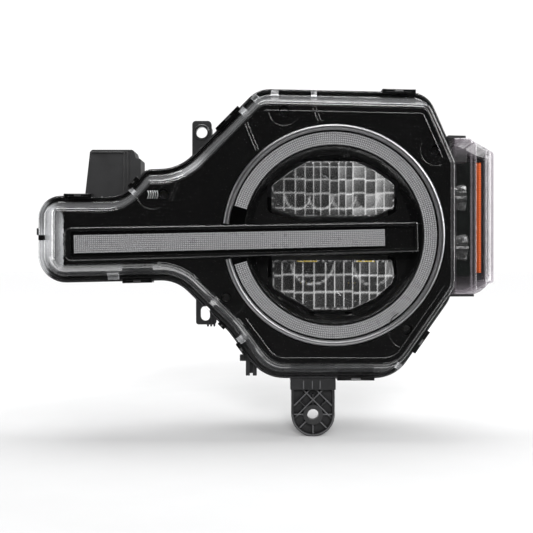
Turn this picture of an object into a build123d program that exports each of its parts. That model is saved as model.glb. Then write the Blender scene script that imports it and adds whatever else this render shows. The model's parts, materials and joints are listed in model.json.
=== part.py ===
from build123d import *
import math
import os

# Car headlight assembly. Millimetres, +Z up, the lamp shines towards -Y, +X is the outboard side.
# Everything is drawn about the halo ring's centre with y = 0 on the lens flange, and shape() moves it so that
# the origin is the centre of the lower bracket's mounting hole, on the face that meets the car.

# --- Overall sizes
ring_radius = 117.0
arm_reach = 317.0
arm_rise = 43.4
arm_drop = 51.0
step_rise = 28.6
body_top_margin = 42.0
body_bottom_margin = 36.6
body_side_margin = 12.0
neck_reach = 110.0
lens_front = 36.0
arm_depth = 62.0
housing_depth = 112.0

# --- Walls, gaps and fits
wall = 2.8
lens_wall = 3.0
trim_wall = 2.5
gap = 0.4
running_clearance = 0.05
board_thickness = 1.6
gasket_thickness = 1.5

# --- Lens flange and its channel
flange_depth = 12.0
channel_lip = 2.2
channel_inner = 7.0
channel_wall_inset = 9.2
channel_floor = 10.0
tongue_length = 8.0
foot_thickness = 4.0
foot_inset = 1.2
lens_base_inset = 7.0
lens_front_inset = 16.0
lens_end_inset = 23.0
lens_top_inset = 19.0
lens_side_inset = 3.0
housing_draft_inset = 6.0

# --- Bezel
bezel_gap = 2.6
bezel_skirt_back = 4.0
bezel_edge_gap = 0.8
screw_cup_radius = 7.0
screw_cup_depth = 10.0
opening_gap = 0.4

# --- Halo ring and inner cone
trim_ring_width = 6.4
trim_ring_height = 9.0
trim_ring_proud = 2.0
guide_outer = 109.0
guide_width = 13.6
guide_front = 26.0
guide_thickness = 6.0
guide_gap_angle = 16.5
cone_mouth = 94.6
cone_floor_radius = 88.0
cone_front = 27.0
cone_floor_y = 3.0

# --- Bar light
bar_inset = 44.5
tray_inset = 34.0
bar_right = 53.3
tray_right = 88.7
bar_height = 18.4
bar_taper = 0.7
tray_height = 34.2
tray_taper = 2.0
bar_centre_z = -3.8
bar_tilt = 1.25
tray_front = 32.4
tray_thickness = 11.0
tray_floor = 3.0
bar_thickness = 6.4
tray_corner = 8.0

# --- Beam modules
module_half_width = 66.4
module_top = 80.0
module_low_edge = 20.2
high_beam_top = -25.8
high_beam_bottom = -79.6
lens_face_y = -10.0
lens_block_depth = 16.0
lens_bevel = 2.4
module_clearance = 4.5
reflector_depth = 30.0
reflector_wall = 2.0
carrier_thickness = 6.0
carrier_half_width = 90.0
carrier_half_height = 84.0
sink_base = 4.0
sink_fin_length = 40.0
sink_fin_count = 12
sink_fin_thickness = 1.6
sink_half_width = 54.0

# --- Aiming gear
pivot_y = 40.0
pin_radius = 4.0
ear_radius = 9.0
post_inner = 94.0
post_thickness = 9.0
aim_arm = 98.0
ball_radius = 5.0
ball_clearance = 0.4
socket_wall = 2.6
rod_radius = 3.0
rod_length = 96.0
motor_width = 62.0
motor_height = 46.0
motor_depth = 34.0
motor_shift = 8.0
nose_radius = 14.0
nose_length = 10.0
aim_screw_offset = 24.0
aim_screw_radius = 3.0
knob_radius = 9.0
knob_length = 11.0
knob_teeth = 12

# --- Side marker
marker_reach = 52.0
marker_top = 104.0
marker_bottom = -62.5
marker_front = 18.0
marker_back = 60.0
marker_wall = 2.6
marker_cup_radius = 12.0

# --- Mounts
tab_hole_radius = 6.0
tab_half_width = 10.4
tab_thickness = 8.0
bushing_wall = 2.6
slot_width = 10.2
slot_length = 16.0
bracket_hole_radius = 6.2
bracket_round = 23.5
bracket_half_width = 24.5
bracket_thickness = 14.0
bracket_drop = 39.8
bracket_web = 2.4
mount_x = -20.3

# --- Rear parts
cover_hole = 44.0
cover_radius = 60.0
cover_thickness = 4.0
cover_screw_circle = 55.0
connector_width = 46.0
connector_height = 28.0
connector_depth = 24.0
connector_wall = 3.0
screw_radius = 2.2
screw_head_radius = 4.4
screw_head_height = 3.2

# --- Outline of the lens flange, clockwise from the arm's lower corner, seen from the front
body_top = ring_radius + body_top_margin
body_bottom = -ring_radius - body_bottom_margin
body_side = ring_radius + body_side_margin
OUTLINE = [
    (-arm_reach, -arm_drop),
    (-arm_reach, arm_rise),
    (-ring_radius - neck_reach, arm_rise),
    (-ring_radius - neck_reach + 26, arm_rise + step_rise),
    (-ring_radius - 48, arm_rise + step_rise + 1),
    (-ring_radius + 37, body_top),
    (ring_radius - 14, body_top - 4),
    (body_side, ring_radius - 21),
    (body_side, -ring_radius + 51),
    (ring_radius - 49, body_bottom),
    (-ring_radius + 43, body_bottom),
    (-ring_radius + 5, -ring_radius + 14),
    (-ring_radius - 51, 3.2 - arm_drop),
]
OUTLINE_RADII = [30, 24, 28, 14, 50, 32, 28, 12, 30, 42, 45, 40, 40]
END_EDGE = 0
TOP_EDGE = 5
SIDE_EDGE = 7
SMALLEST_CORNER = 2.0

# --- Outline of the housing's deep rear part, clockwise
DEEP_OUTLINE = [
    (-ring_radius - 8, -ring_radius + 51),
    (-ring_radius - 8, ring_radius - 37),
    (-ring_radius + 51, body_top - 18),
    (ring_radius - 20, body_top - 20),
    (body_side - 14, ring_radius - 27),
    (body_side - 14, -ring_radius + 55),
    (ring_radius - 57, body_bottom + 16),
    (-ring_radius + 49, body_bottom + 16),
]
DEEP_RADII = [26, 26, 30, 28, 14, 30, 40, 40]

# --- Places, measured from the ring's centre
BEZEL_SCREWS = [
    (-52.5, ring_radius + 13.5),
    (ring_radius - 10, 89.0),
    (76.9, -ring_radius + 17.5),
    (-ring_radius + 4, -65.8),
    (-ring_radius - 62, 43.0),
]
CLIPS = [
    # edge of the outline, share of the way along it, length of the clip
    (4, 0.62, 34),
    (2, 0.50, 14),
    (1, 0.48, 30),
    (12, 0.28, 32),
    (5, 0.83, 36),
    (8, 0.55, 28),
    (9, 0.30, 40),
    (11, 0.12, 9),
    (10, 0.62, 16),
]
TOP_TAB = (-ring_radius - 23.9, 112.5)
LOWER_TAB = (-ring_radius - 20.2, -84.0)
COVER_CENTRE = (-8.0, 62.0)
CONNECTOR_CENTRE = (68.0, -48.0)
VENTS = [(-92.0, 62.0), (80.0, 92.0)]
DRIVER_CENTRE = (-ring_radius - 92, -5.0)
DRIVER_SIZE = (104.0, 60.0, 22.0)

mount_z = body_bottom - bracket_drop
HOME = Pos(-mount_x, -bracket_thickness, -mount_z)


def at_depth(y):
    """The drawing plane facing forward at depth y."""
    return Plane.XZ.offset(-y)


def plate(sketch, back, front):
    """A flat plate from depth back forward to depth front."""
    return extrude(at_depth(back) * sketch, amount=back - front)


def moved_in(points, amounts):
    """Corners of a clockwise outline with each side moved in by its own amount."""
    lines = []
    count = len(points)
    for index in range(count):
        x0, z0 = points[index]
        x1, z1 = points[(index + 1) % count]
        length = math.hypot(x1 - x0, z1 - z0)
        dx, dz = (x1 - x0) / length, (z1 - z0) / length
        shift = amounts[index]
        lines.append((x0 + dz * shift, z0 - dx * shift, dx, dz))
    corners = []
    for index in range(count):
        ax, az, adx, adz = lines[index - 1]
        bx, bz, bdx, bdz = lines[index]
        cross = adx * bdz - adz * bdx
        along = ((bx - ax) * bdz - (bz - az) * bdx) / cross
        corners.append((ax + adx * along, az + adz * along))
    return corners


def corner_radii(points, radii, amounts):
    """Fillet radii after the sides are moved in: outer corners shrink, inner corners grow."""
    result = []
    count = len(points)
    for index in range(count):
        x0, z0 = points[index - 1]
        x1, z1 = points[index]
        x2, z2 = points[(index + 1) % count]
        turn = (x1 - x0) * (z2 - z1) - (z1 - z0) * (x2 - x1)
        shift = (amounts[index - 1] + amounts[index]) / 2
        grown = radii[index] + (shift if turn > 0 else -shift)
        result.append(max(grown, SMALLEST_CORNER))
    return result


def rounded(points, radii, amounts):
    """A filleted outline moved in by an amount for each side."""
    corners = moved_in(points, amounts)
    return make_face(FilletPolyline(*corners, radius=corner_radii(points, radii, amounts), close=True))


def flange_outline(amount):
    """The flange outline moved in by one amount all round."""
    return rounded(OUTLINE, OUTLINE_RADII, [amount] * len(OUTLINE))


def lens_outline(amount, share):
    """The lens outline moved in by an amount, at a share of the way from the flange to the front face."""
    amounts = [lens_base_inset + (lens_front_inset - lens_base_inset) * share] * len(OUTLINE)
    amounts[END_EDGE] = lens_base_inset + (lens_end_inset - lens_base_inset) * share
    amounts[TOP_EDGE] = lens_base_inset + (lens_top_inset - lens_base_inset) * share
    amounts[SIDE_EDGE] = lens_side_inset
    amounts[SIDE_EDGE - 1] = (amounts[TOP_EDGE] + lens_side_inset) / 2
    amounts[SIDE_EDGE + 1] = (amounts[SIDE_EDGE + 2] + lens_side_inset) / 2
    return rounded(OUTLINE, OUTLINE_RADII, [value + amount for value in amounts])


def deep_outline(amount):
    """The outline of the housing's deep part moved in."""
    return rounded(DEEP_OUTLINE, DEEP_RADII, [amount] * len(DEEP_OUTLINE))


def drafted(back_face, back, front_face, front):
    """A solid between two outlines at two depths, with straight drafted walls."""
    return loft([at_depth(back) * back_face, at_depth(front) * front_face], ruled=True)


def disc(x, z, radius, back, front):
    """A round plate that faces forward."""
    return plate(Pos(x, z) * Circle(radius), back, front)


def tube(x, z, outer, inner, back, front):
    """A round ring that faces forward."""
    return disc(x, z, outer, back, front) - disc(x, z, inner, back, front)


def block(x0, x1, y0, y1, z0, z1):
    """A rectangular block between two corners."""
    size = (x1 - x0, y1 - y0, z1 - z0)
    return Pos((x0 + x1) / 2, (y0 + y1) / 2, (z0 + z1) / 2) * Box(*size)


def group(solids):
    """Several separate solids in one node."""
    return Part() + solids


def turned(profile_points):
    """A solid of revolution about the lamp's axis, from (radius, y) corners."""
    profile = Plane.XY * make_face(Polyline(*profile_points, close=True))
    return revolve(profile, axis=Axis.Y)


def bar_plate(left, right, height, taper, back, front, corner_left, corner_right):
    """A plate along the bar's tilted centre line, taller by the taper at the arm's end."""
    half_left, half_right = (height + taper) / 2, (height - taper) / 2
    corners = [(left, -half_left), (left, half_left), (right, half_right), (right, -half_right)]
    radii = [corner_left, corner_left, corner_right, corner_right]
    face = make_face(FilletPolyline(*corners, radius=radii, close=True))
    return plate(Pos(0, bar_centre_z) * Rot(0, 0, bar_tilt) * face, back, front)


def screw(x, z, seat, length, inward=1):
    """A pan-head screw at depth seat: inward 1 points to the rear, -1 to the front."""
    head = disc(x, z, screw_head_radius, seat, seat - screw_head_height)
    if inward < 0:
        head = disc(x, z, screw_head_radius, seat + screw_head_height, seat)
        return head + disc(x, z, screw_radius, seat, seat - length)
    return head + disc(x, z, screw_radius, seat + length, seat)


NODES = {}


def shape(name, solid):
    """Moves a piece to the lamp's origin and keeps it under its node name."""
    NODES[name] = HOME * solid


# --- Housing


def tub_envelope():
    """The outside of the tub behind the flange, as a full solid."""
    outer_inset = channel_wall_inset - wall
    arm_outer = drafted(
        flange_outline(outer_inset + housing_draft_inset), arm_depth,
        flange_outline(outer_inset), flange_depth,
    )
    deep_outer = drafted(deep_outline(8), housing_depth, deep_outline(0), arm_depth - 8)
    return arm_outer + deep_outer


def housing_shell():
    """The open tub: shallow behind the arm, deep behind the beam modules."""
    arm_inner = drafted(
        flange_outline(channel_wall_inset + housing_draft_inset), arm_depth - wall,
        flange_outline(channel_wall_inset), channel_floor,
    )
    rear_start = arm_depth - 8 + wall
    deep_inner = drafted(deep_outline(8 + wall), housing_depth - wall, deep_outline(wall), rear_start)
    rim = plate(flange_outline(0), flange_depth, 0)
    groove = plate(flange_outline(channel_lip), channel_floor, 0)
    groove -= plate(flange_outline(channel_inner), channel_floor, 0)
    mouth = plate(flange_outline(channel_wall_inset), flange_depth, 0)
    return tub_envelope() + rim - groove - mouth - arm_inner - deep_inner


def marker_outline(amount):
    """The side marker seen from the front, moved in."""
    left = body_side + gap
    right = body_side + marker_reach
    points = [
        (left, marker_bottom), (left, marker_top), (left + 16, marker_top),
        (right - 12, marker_top - 12), (right, marker_top - 14), (right, marker_bottom + 12),
        (right - 24, marker_bottom),
    ]
    return rounded(points, [2, 2, 6, 4, 4, 6, 8], [amount] * len(points))


def marker_plan(amount):
    """The side marker seen from above: its front sweeps back towards the outboard side."""
    left = body_side + gap + amount
    right = body_side + marker_reach - amount
    start = (left, -marker_front + amount)
    finish = (right, marker_back - 18)
    middle = (right - 13, -marker_front + 20 + amount)
    front = ThreePointArc(start, middle, finish)
    rest = Polyline(finish, (right, marker_back + 40), (left, marker_back + 40), start)
    return extrude(make_face(front + rest), amount=400, both=True)


def marker_solid(amount, back):
    """The side marker's outer form moved in by an amount, open towards the rear at depth back."""
    return plate(marker_outline(amount), back, -marker_front) & marker_plan(amount)


def marker_tray():
    """The dark rear tray of the side marker, moulded with the housing."""
    floor_back = marker_back + wall
    tray = plate(marker_outline(0), floor_back, marker_back - 10)
    tray -= plate(marker_outline(wall), marker_back, marker_back - 10)
    bridge = block(body_side - 22, body_side + gap + wall, marker_back - 10, floor_back, -50, 70)
    return tray + bridge


def pivot_post(side):
    """A post from the rear wall that holds one pivot pin."""
    inner = side * post_inner
    outer = side * (post_inner + post_thickness)
    x0, x1 = min(inner, outer), max(inner, outer)
    return block(x0, x1, pivot_y - 12, housing_depth - wall, -12, 12)


def pin_bore(radius):
    """A bore along the tilt axis, through both posts."""
    reach = post_inner + post_thickness + 20
    return Pos(0, pivot_y, 0) * Rot(0, 90, 0) * Cylinder(radius, 2 * reach)


def screw_post(x, z):
    """A post behind one bezel screw."""
    seat = -bezel_face() + screw_cup_depth + trim_wall
    return disc(x, z, screw_head_radius + 0.6, housing_depth - 1, seat)


def bezel_face():
    """How far the bezel's front face stands in front of the flange."""
    return lens_front - lens_wall - bezel_gap


def top_tab():
    """The upper mounting tab with its bushing hole."""
    x, z = TOP_TAB
    outline = RectangleRounded(2 * tab_half_width, 62, 4)
    tab = plate(Pos(x, z + 12.5 - 31) * outline, flange_depth, flange_depth - tab_thickness)
    rib = block(x - tab_half_width, x - tab_half_width + 3, flange_depth - 1, flange_depth + 16, z - 44, z + 6)
    rib += block(x + tab_half_width - 3, x + tab_half_width, flange_depth - 1, flange_depth + 16, z - 44, z + 6)
    return tab + rib


def lower_tab():
    """The lower mounting tab, which holds a vertical slot."""
    x, z = LOWER_TAB
    tab = plate(Pos(x + 1, z + 6) * RectangleRounded(22, 36, 3), flange_depth, flange_depth - tab_thickness)
    teeth = [
        block(x + 2 + 3.5 * k, x + 3.8 + 3.5 * k, flange_depth - tab_thickness - 2, flange_depth, z - 14, z - 4)
        for k in range(3)
    ]
    for tooth in teeth:
        tab += tooth
    return tab


def lower_slot():
    """The vertical slot cut through the lower tab."""
    x, z = LOWER_TAB
    slot = SlotOverall(slot_length, slot_width, rotation=90)
    return plate(Pos(x, z) * slot, flange_depth + 30, -1)


def make_housing():
    body = housing_shell()
    body += marker_tray()
    body += pivot_post(1) + pivot_post(-1)
    body += (top_tab() + lower_tab()) - plate(flange_outline(0), flange_depth, -1) - tub_envelope()
    for x in (mount_x - 14, mount_x + 14):
        body += block(x - 5, x + 5, flange_depth + 6, flange_depth + 20, body_bottom - 0.4, body_bottom + 14)
    front_space = plate(flange_outline(channel_wall_inset), flange_depth, -lens_front)
    for x, z in BEZEL_SCREWS:
        body += screw_post(x, z) & (tub_envelope() + front_space)
    seat = -bezel_face() + screw_cup_depth + trim_wall
    for x, z in BEZEL_SCREWS:
        body -= disc(x, z, screw_radius, seat + 12, seat)
    body -= lower_slot()
    body -= disc(*TOP_TAB, tab_hole_radius + bushing_wall, flange_depth + 1, -1)
    body -= pin_bore(pin_radius)
    body -= disc(*COVER_CENTRE, cover_hole, housing_depth + 1, housing_depth - 8)
    body -= disc(0, -aim_arm, nose_radius + gap, housing_depth + 1, housing_depth - 8)
    x, z = CONNECTOR_CENTRE
    body -= block(x - 18, x + 18, housing_depth - 8, housing_depth + 1, z - 7, z + 7)
    x, z = DRIVER_CENTRE
    body -= block(x - 16, x + 16, arm_depth - 8, arm_depth + 1, z - 9, z + 9)
    for x, z in VENTS:
        body -= disc(x, z, 5, housing_depth + 1, housing_depth - 8)
    for x, z in cover_screw_places():
        body -= disc(x, z, screw_radius, housing_depth + 1, housing_depth - 8)
    for x, z in driver_screw_places():
        body -= disc(x, z, screw_radius, arm_depth + 1, arm_depth - 8)
    for x in (mount_x - 14, mount_x + 14):
        body -= Pos(x, flange_depth + 13, body_bottom + 6) * Cylinder(screw_radius, 14)
    shape("housing", body)
    shape("tab_bushing", tube(*TOP_TAB, tab_hole_radius + bushing_wall, tab_hole_radius, flange_depth,
                              flange_depth - tab_thickness - 0.6))


# --- Lens, seal and clips


def make_outer_lens():
    """The clear lens: flange foot, tongue, drafted side wall and front face."""
    front = -lens_front
    foot = plate(flange_outline(foot_inset), 0, -foot_thickness)
    foot -= plate(flange_outline(lens_base_inset + lens_wall), 0, -foot_thickness)
    tongue = plate(flange_outline(channel_lip + 1.2), tongue_length, 0)
    tongue -= plate(flange_outline(channel_inner - 1.2), tongue_length, 0)
    outer = drafted(lens_outline(0, 0), -foot_thickness + 1, lens_outline(0, 1), front)
    inner = drafted(lens_outline(lens_wall, 0), -foot_thickness + 1, lens_outline(lens_wall, 1), front + lens_wall)
    shape("outer_lens", foot + tongue + outer - inner)


def make_seal():
    """The bead of sealant under the lens tongue, in the housing's channel."""
    bead = plate(flange_outline(channel_lip + 0.3), channel_floor, tongue_length)
    bead -= plate(flange_outline(channel_inner - 0.3), channel_floor, tongue_length)
    shape("seal_bead", bead)


def make_clips():
    """Spring clips that hold the lens foot down on the housing's channel."""
    thickness = 1.6
    clips = []
    for edge, share, length in CLIPS:
        x0, z0 = OUTLINE[edge]
        x1, z1 = OUTLINE[(edge + 1) % len(OUTLINE)]
        angle = math.degrees(math.atan2(z1 - z0, x1 - x0))
        x, z = x0 + (x1 - x0) * share, z0 + (z1 - z0) * share
        legs = block(-length / 2, length / 2, -foot_thickness - thickness, -foot_thickness, -3.5, thickness + gap)
        legs += block(-length / 2, length / 2, flange_depth, flange_depth + thickness, -1.5, thickness + gap)
        legs += block(-length / 2, length / 2, -foot_thickness, flange_depth, gap, thickness + gap)
        clips.append(Pos(x, 0, z) * Rot(0, -angle, 0) * legs)
    shape("lens_clips", group(clips))


# --- Bezel, ring and bar


def tray_cut(extra, front):
    """The space the bar tray takes, with clearance, from the flange forward."""
    return bar_plate(-arm_reach + tray_inset - extra, tray_right + extra, tray_height + 2 * extra, tray_taper,
                     0, front, tray_corner + extra, 1 + extra)


def make_bezel():
    """The gloss inner panel with the ring opening, the bar slot and the screw cups."""
    face = bezel_face()
    edge = lens_wall + bezel_edge_gap
    outer = drafted(lens_outline(edge, 0.2), -bezel_skirt_back, lens_outline(edge, 1), -face)
    inner = drafted(lens_outline(edge + trim_wall, 0.2), -bezel_skirt_back,
                    lens_outline(edge + trim_wall, 1), -face + trim_wall)
    panel = outer - inner
    floor = -face + screw_cup_depth
    for x, z in BEZEL_SCREWS:
        panel += disc(x, z, screw_cup_radius, floor + trim_wall, -face)
    panel = panel & outer
    for x, z in BEZEL_SCREWS:
        panel -= disc(x, z, screw_cup_radius - 1.2, floor, -face - 1)
        panel -= disc(x, z, screw_radius + 0.2, floor + trim_wall, floor)
    panel -= disc(0, 0, ring_radius + opening_gap, 0, -lens_front)
    panel -= tray_cut(gap, -lens_front)
    shape("bezel", panel)
    screws = [screw(x, z, floor, trim_wall + 10) for x, z in BEZEL_SCREWS]
    shape("bezel_screws", group(screws))


def make_trim_ring():
    """The bright rounded ring round the halo, cut where the bar tray crosses it."""
    front = -bezel_face() - trim_ring_proud
    inner = ring_radius - trim_ring_width
    ring = turned([
        (ring_radius, front + trim_ring_height), (ring_radius, front + 2.2), (ring_radius - 1.8, front),
        (inner + 2.2, front), (inner, front + 2.6), (inner, front + trim_ring_height),
    ])
    shape("halo_trim_ring", ring - tray_cut(gap, -lens_front))


def halo_gap(radius, widen=0.0):
    """The wedge left open in the halo on the arm's side."""
    half = math.radians(guide_gap_angle + widen)
    reach = 2 * radius
    rise = reach * math.tan(half)
    wedge = make_face(Polyline((0, 0), (-reach, rise), (-reach, -rise), close=True))
    return plate(wedge, 60, -60)


def make_halo():
    """The halo light guide and the LED board behind it."""
    inner = guide_outer - guide_width
    guide = turned([
        (guide_outer, -guide_front + guide_thickness), (guide_outer, -guide_front + 1),
        (guide_outer - 1, -guide_front), (inner + 1, -guide_front), (inner, -guide_front + 1),
        (inner, -guide_front + guide_thickness),
    ])
    shape("halo_light_guide", guide - halo_gap(guide_outer))
    board_y = -guide_front + guide_thickness + 4
    board = tube(0, 0, guide_outer - 1, inner + 1.6, board_y + board_thickness, board_y)
    shape("halo_led_board", board - halo_gap(guide_outer))


def make_inner_cone():
    """The black cone from the halo in to the beam modules, with a window for each lens."""
    mouth_wall = 1.4
    cone = turned([
        (cone_mouth, -cone_front), (cone_floor_radius, cone_floor_y), (0, cone_floor_y),
        (0, cone_floor_y - trim_wall), (cone_floor_radius - mouth_wall, cone_floor_y - trim_wall),
        (cone_mouth - mouth_wall, -cone_front),
    ])
    for face in (low_beam_face(-module_clearance), high_beam_face(-module_clearance)):
        cone -= plate(face, 20, -40)
    cone -= tray_cut(gap, -lens_front)
    shape("inner_cone", cone)


def make_bar():
    """The bar tray that crosses the ring, its light guide and its LED board."""
    left = -arm_reach + tray_inset
    guide_left = -arm_reach + bar_inset
    tray = bar_plate(left, tray_right, tray_height, tray_taper, -tray_front + tray_thickness, -tray_front,
                     tray_corner, 1)
    recess_floor = -tray_front + tray_thickness - tray_floor
    tray -= bar_plate(guide_left - 3, tray_right - 4, tray_height - 9, tray_taper, recess_floor, -tray_front, 4, 1)
    shape("bar_tray", tray)
    shape("bar_led_board", bar_plate(guide_left + 4, bar_right - 4, bar_height - 4, bar_taper, recess_floor,
                                     recess_floor - board_thickness, 1, 1))
    guide_back = recess_floor - board_thickness
    shape("bar_light_guide", bar_plate(guide_left, bar_right, bar_height, bar_taper, guide_back,
                                       guide_back - bar_thickness, 3, 1))


# --- Beam modules


def low_beam_face(amount):
    """The upper lens outline: bevelled shoulders and a slightly swept lower edge."""
    w = module_half_width
    points = [
        (-w + 1, module_low_edge + 9), (-w + 1, module_top - 26), (-w + 21, module_top - 11),
        (-w + 40, module_top), (w - 42, module_top), (w - 21, module_top - 10), (w, module_top - 25),
        (w, module_low_edge + 9), (w - 24, module_low_edge), (-w + 31, module_low_edge),
    ]
    return rounded(points, [3, 4, 6, 8, 8, 6, 3, 4, 8, 8], [amount] * len(points))


def high_beam_face(amount):
    """The lower lens outline: flat top and shoulders that close in towards the bottom."""
    w = module_half_width
    points = [
        (-w + 2, high_beam_bottom + 24), (-w + 2, high_beam_top), (w - 2, high_beam_top),
        (w, high_beam_top - 19), (w - 3, high_beam_top - 26), (w - 20, high_beam_bottom + 12.5),
        (w - 48, high_beam_bottom), (-w + 44, high_beam_bottom), (-w + 22, high_beam_bottom + 12.5),
    ]
    return rounded(points, [4, 3, 3, 3, 3, 6, 6, 6, 6], [amount] * len(points))


def make_module(name, face, centre_z, half_height):
    """One beam module: lens block, reflector, LED board with chips, and finned heat sink."""
    back = lens_face_y + lens_block_depth
    lens = drafted(face(0), back, face(0), lens_face_y + lens_bevel)
    lens += drafted(face(0), lens_face_y + lens_bevel, face(lens_bevel), lens_face_y)
    lens -= plate(face(8), back, back - lens_block_depth / 2)
    shape(f"{name}_lens", lens)

    rear = back + reflector_depth
    mouth = RectangleRounded(108, 2 * half_height, 8)
    throat = RectangleRounded(48, 24, 4)
    mouth_in = RectangleRounded(108 - 2 * reflector_wall, 2 * half_height - 2 * reflector_wall, 6)
    throat_in = RectangleRounded(48 - 2 * reflector_wall, 24 - 2 * reflector_wall, 3)
    bowl = drafted(Pos(0, centre_z) * throat, rear, Pos(0, centre_z) * mouth, back)
    bowl &= plate(face(0), rear, back)
    hollow = drafted(Pos(0, centre_z) * throat_in, rear, Pos(0, centre_z) * mouth_in, back)
    hollow &= plate(face(reflector_wall), rear, back)
    shape(f"{name}_reflector", bowl - hollow)

    board = plate(Pos(0, centre_z) * RectangleRounded(40, 18, 2), rear, rear - board_thickness)
    shape(f"{name}_led_board", board)
    chips = [block(x - 6, x + 6, rear - board_thickness - 1.2, rear - board_thickness, centre_z - 3, centre_z + 3)
             for x in (-11, 11)]
    shape(f"{name}_led_chips", group(chips))

    base_front = rear + carrier_thickness
    sink = block(-sink_half_width, sink_half_width, base_front, base_front + sink_base,
                 centre_z - 25, centre_z + 25)
    pitch = (2 * sink_half_width - sink_fin_thickness) / (sink_fin_count - 1)
    for index in range(sink_fin_count):
        x = -sink_half_width + index * pitch
        sink += block(x, x + sink_fin_thickness, base_front + sink_base, base_front + sink_base + sink_fin_length,
                      centre_z - 25, centre_z + 25)
    for x in (-sink_half_width + 14.5, sink_half_width - 14.5):
        sink -= disc(x, centre_z, screw_radius, base_front + sink_base, base_front)
    shape(f"{name}_heat_sink", sink)


def make_carrier():
    """The frame that carries both modules and tilts on two pins."""
    front = lens_face_y + lens_block_depth + reflector_depth
    back = front + carrier_thickness
    frame = plate(RectangleRounded(2 * carrier_half_width - 16, 2 * carrier_half_height, 10), back, front)
    frame += plate(Pos(0, -aim_arm + 10) * RectangleRounded(34, 52, 8), back, front)
    for side in (-1, 1):
        x = side * (carrier_half_width - 8)
        ear = Pos(x, pivot_y, 0) * Rot(0, 90, 0) * Cylinder(ear_radius, 16)
        frame += ear
        frame -= plate(Pos(side * 70, 0) * RectangleRounded(10, 90, 4), back + 1, front - 1)
    frame -= pin_bore(pin_radius + running_clearance)
    frame -= Pos(0, pivot_y, -aim_arm) * Sphere(ball_radius + ball_clearance + socket_wall)
    frame -= disc(0, -aim_arm, ball_radius + 1, back + 1, front - 1)
    for z in (LOW_CENTRE, HIGH_CENTRE):
        for x in (-sink_half_width + 14.5, sink_half_width - 14.5):
            frame -= disc(x, z, screw_radius + 0.2, back + 1, front - 1)
    shape("module_carrier", frame)

    ball_space = Pos(0, pivot_y, -aim_arm) * Sphere(ball_radius + ball_clearance)
    socket = Pos(0, pivot_y, -aim_arm) * Sphere(ball_radius + ball_clearance + socket_wall)
    socket -= ball_space
    socket -= disc(0, -aim_arm, ball_radius - 0.6, pivot_y + 20, pivot_y)
    shape("ball_socket", socket)

    pins = []
    for side in (-1, 1):
        middle = side * (carrier_half_width - 10 + post_inner + post_thickness) / 2
        length = post_inner + post_thickness - carrier_half_width + 10
        pins.append(Pos(middle, pivot_y, 0) * Rot(0, 90, 0) * Cylinder(pin_radius, length))
    shape("pivot_pins", group(pins))

    screws = []
    for z in (LOW_CENTRE, HIGH_CENTRE):
        for x in (-sink_half_width + 14.5, sink_half_width - 14.5):
            screws.append(screw(x, z, front, carrier_thickness + sink_base))
    shape("module_screws", group(screws))


# --- Aiming gear


def make_aiming_gear():
    """Levelling motor, its gasket, the push rod with a ball, and the hand aiming screw."""
    back = housing_depth + gasket_thickness
    case_face = Pos(motor_shift, -aim_arm) * RectangleRounded(motor_width, motor_height, 6)
    motor = plate(case_face, back + motor_depth, back)
    motor += disc(0, -aim_arm, nose_radius, back, housing_depth - nose_length)
    motor -= disc(0, -aim_arm, rod_radius + running_clearance, back + motor_depth - 4, housing_depth - nose_length)
    motor -= disc(aim_screw_offset, -aim_arm, aim_screw_radius + running_clearance, back + motor_depth,
                  back + motor_depth - 18)
    shape("levelling_motor", motor)
    seal = plate(Pos(motor_shift, -aim_arm) * RectangleRounded(motor_width - 4, motor_height - 4, 5), back, housing_depth)
    shape("motor_gasket", seal - disc(0, -aim_arm, nose_radius, back, housing_depth))

    rod = Pos(0, pivot_y, -aim_arm) * Sphere(ball_radius)
    rod += disc(0, -aim_arm, rod_radius, pivot_y + rod_length, pivot_y)
    shape("adjuster_rod", rod)

    shaft_start = back + motor_depth - 17
    knob_start = back + motor_depth + 0.5
    aim = disc(aim_screw_offset, -aim_arm, aim_screw_radius, knob_start + 1, shaft_start)
    knob = disc(aim_screw_offset, -aim_arm, knob_radius, knob_start + knob_length, knob_start)
    for index in range(knob_teeth):
        angle = 2 * math.pi * index / knob_teeth
        x = aim_screw_offset + knob_radius * math.cos(angle)
        z = -aim_arm + knob_radius * math.sin(angle)
        knob -= disc(x, z, 1.3, knob_start + knob_length + 1, knob_start - 1)
    hexagon = Pos(aim_screw_offset, -aim_arm) * RegularPolygon(3.4, 6)
    knob -= plate(hexagon, knob_start + knob_length, knob_start + 4)
    shape("aim_screw", aim + knob)


# --- Side marker


def make_marker():
    """The wrap-round side marker: clear lens, cap, amber reflector, optic cups and LED board."""
    lens = marker_solid(0, marker_back - 10)
    lens -= marker_solid(marker_wall, marker_back - 10)
    shape("side_marker_lens", lens)
    left = body_side + gap + marker_wall + 0.6
    board_y = 34
    shape("marker_led_board", block(left + 1, left + 28, board_y, board_y + board_thickness, -44, 84))
    shape("marker_reflector", block(body_side + 31.5, body_side + 39, 26, 30, -40, 82))
    cups = []
    for x, z in ((left + 10.5, 43.0), (left + 12.5, -12.0)):
        bell = Pos(x, 16, z) * Sphere(marker_cup_radius) - Pos(x, 16, z) * Sphere(marker_cup_radius - 2)
        cups.append(bell & block(x - 8, x + 9, 16, board_y, z - 20, z))
    shape("marker_optics", group(cups))
    shape("marker_cap", block(left, body_side + 18, 6, 24, marker_top - 24, marker_top - 9))


# --- Mounting pieces


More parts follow.
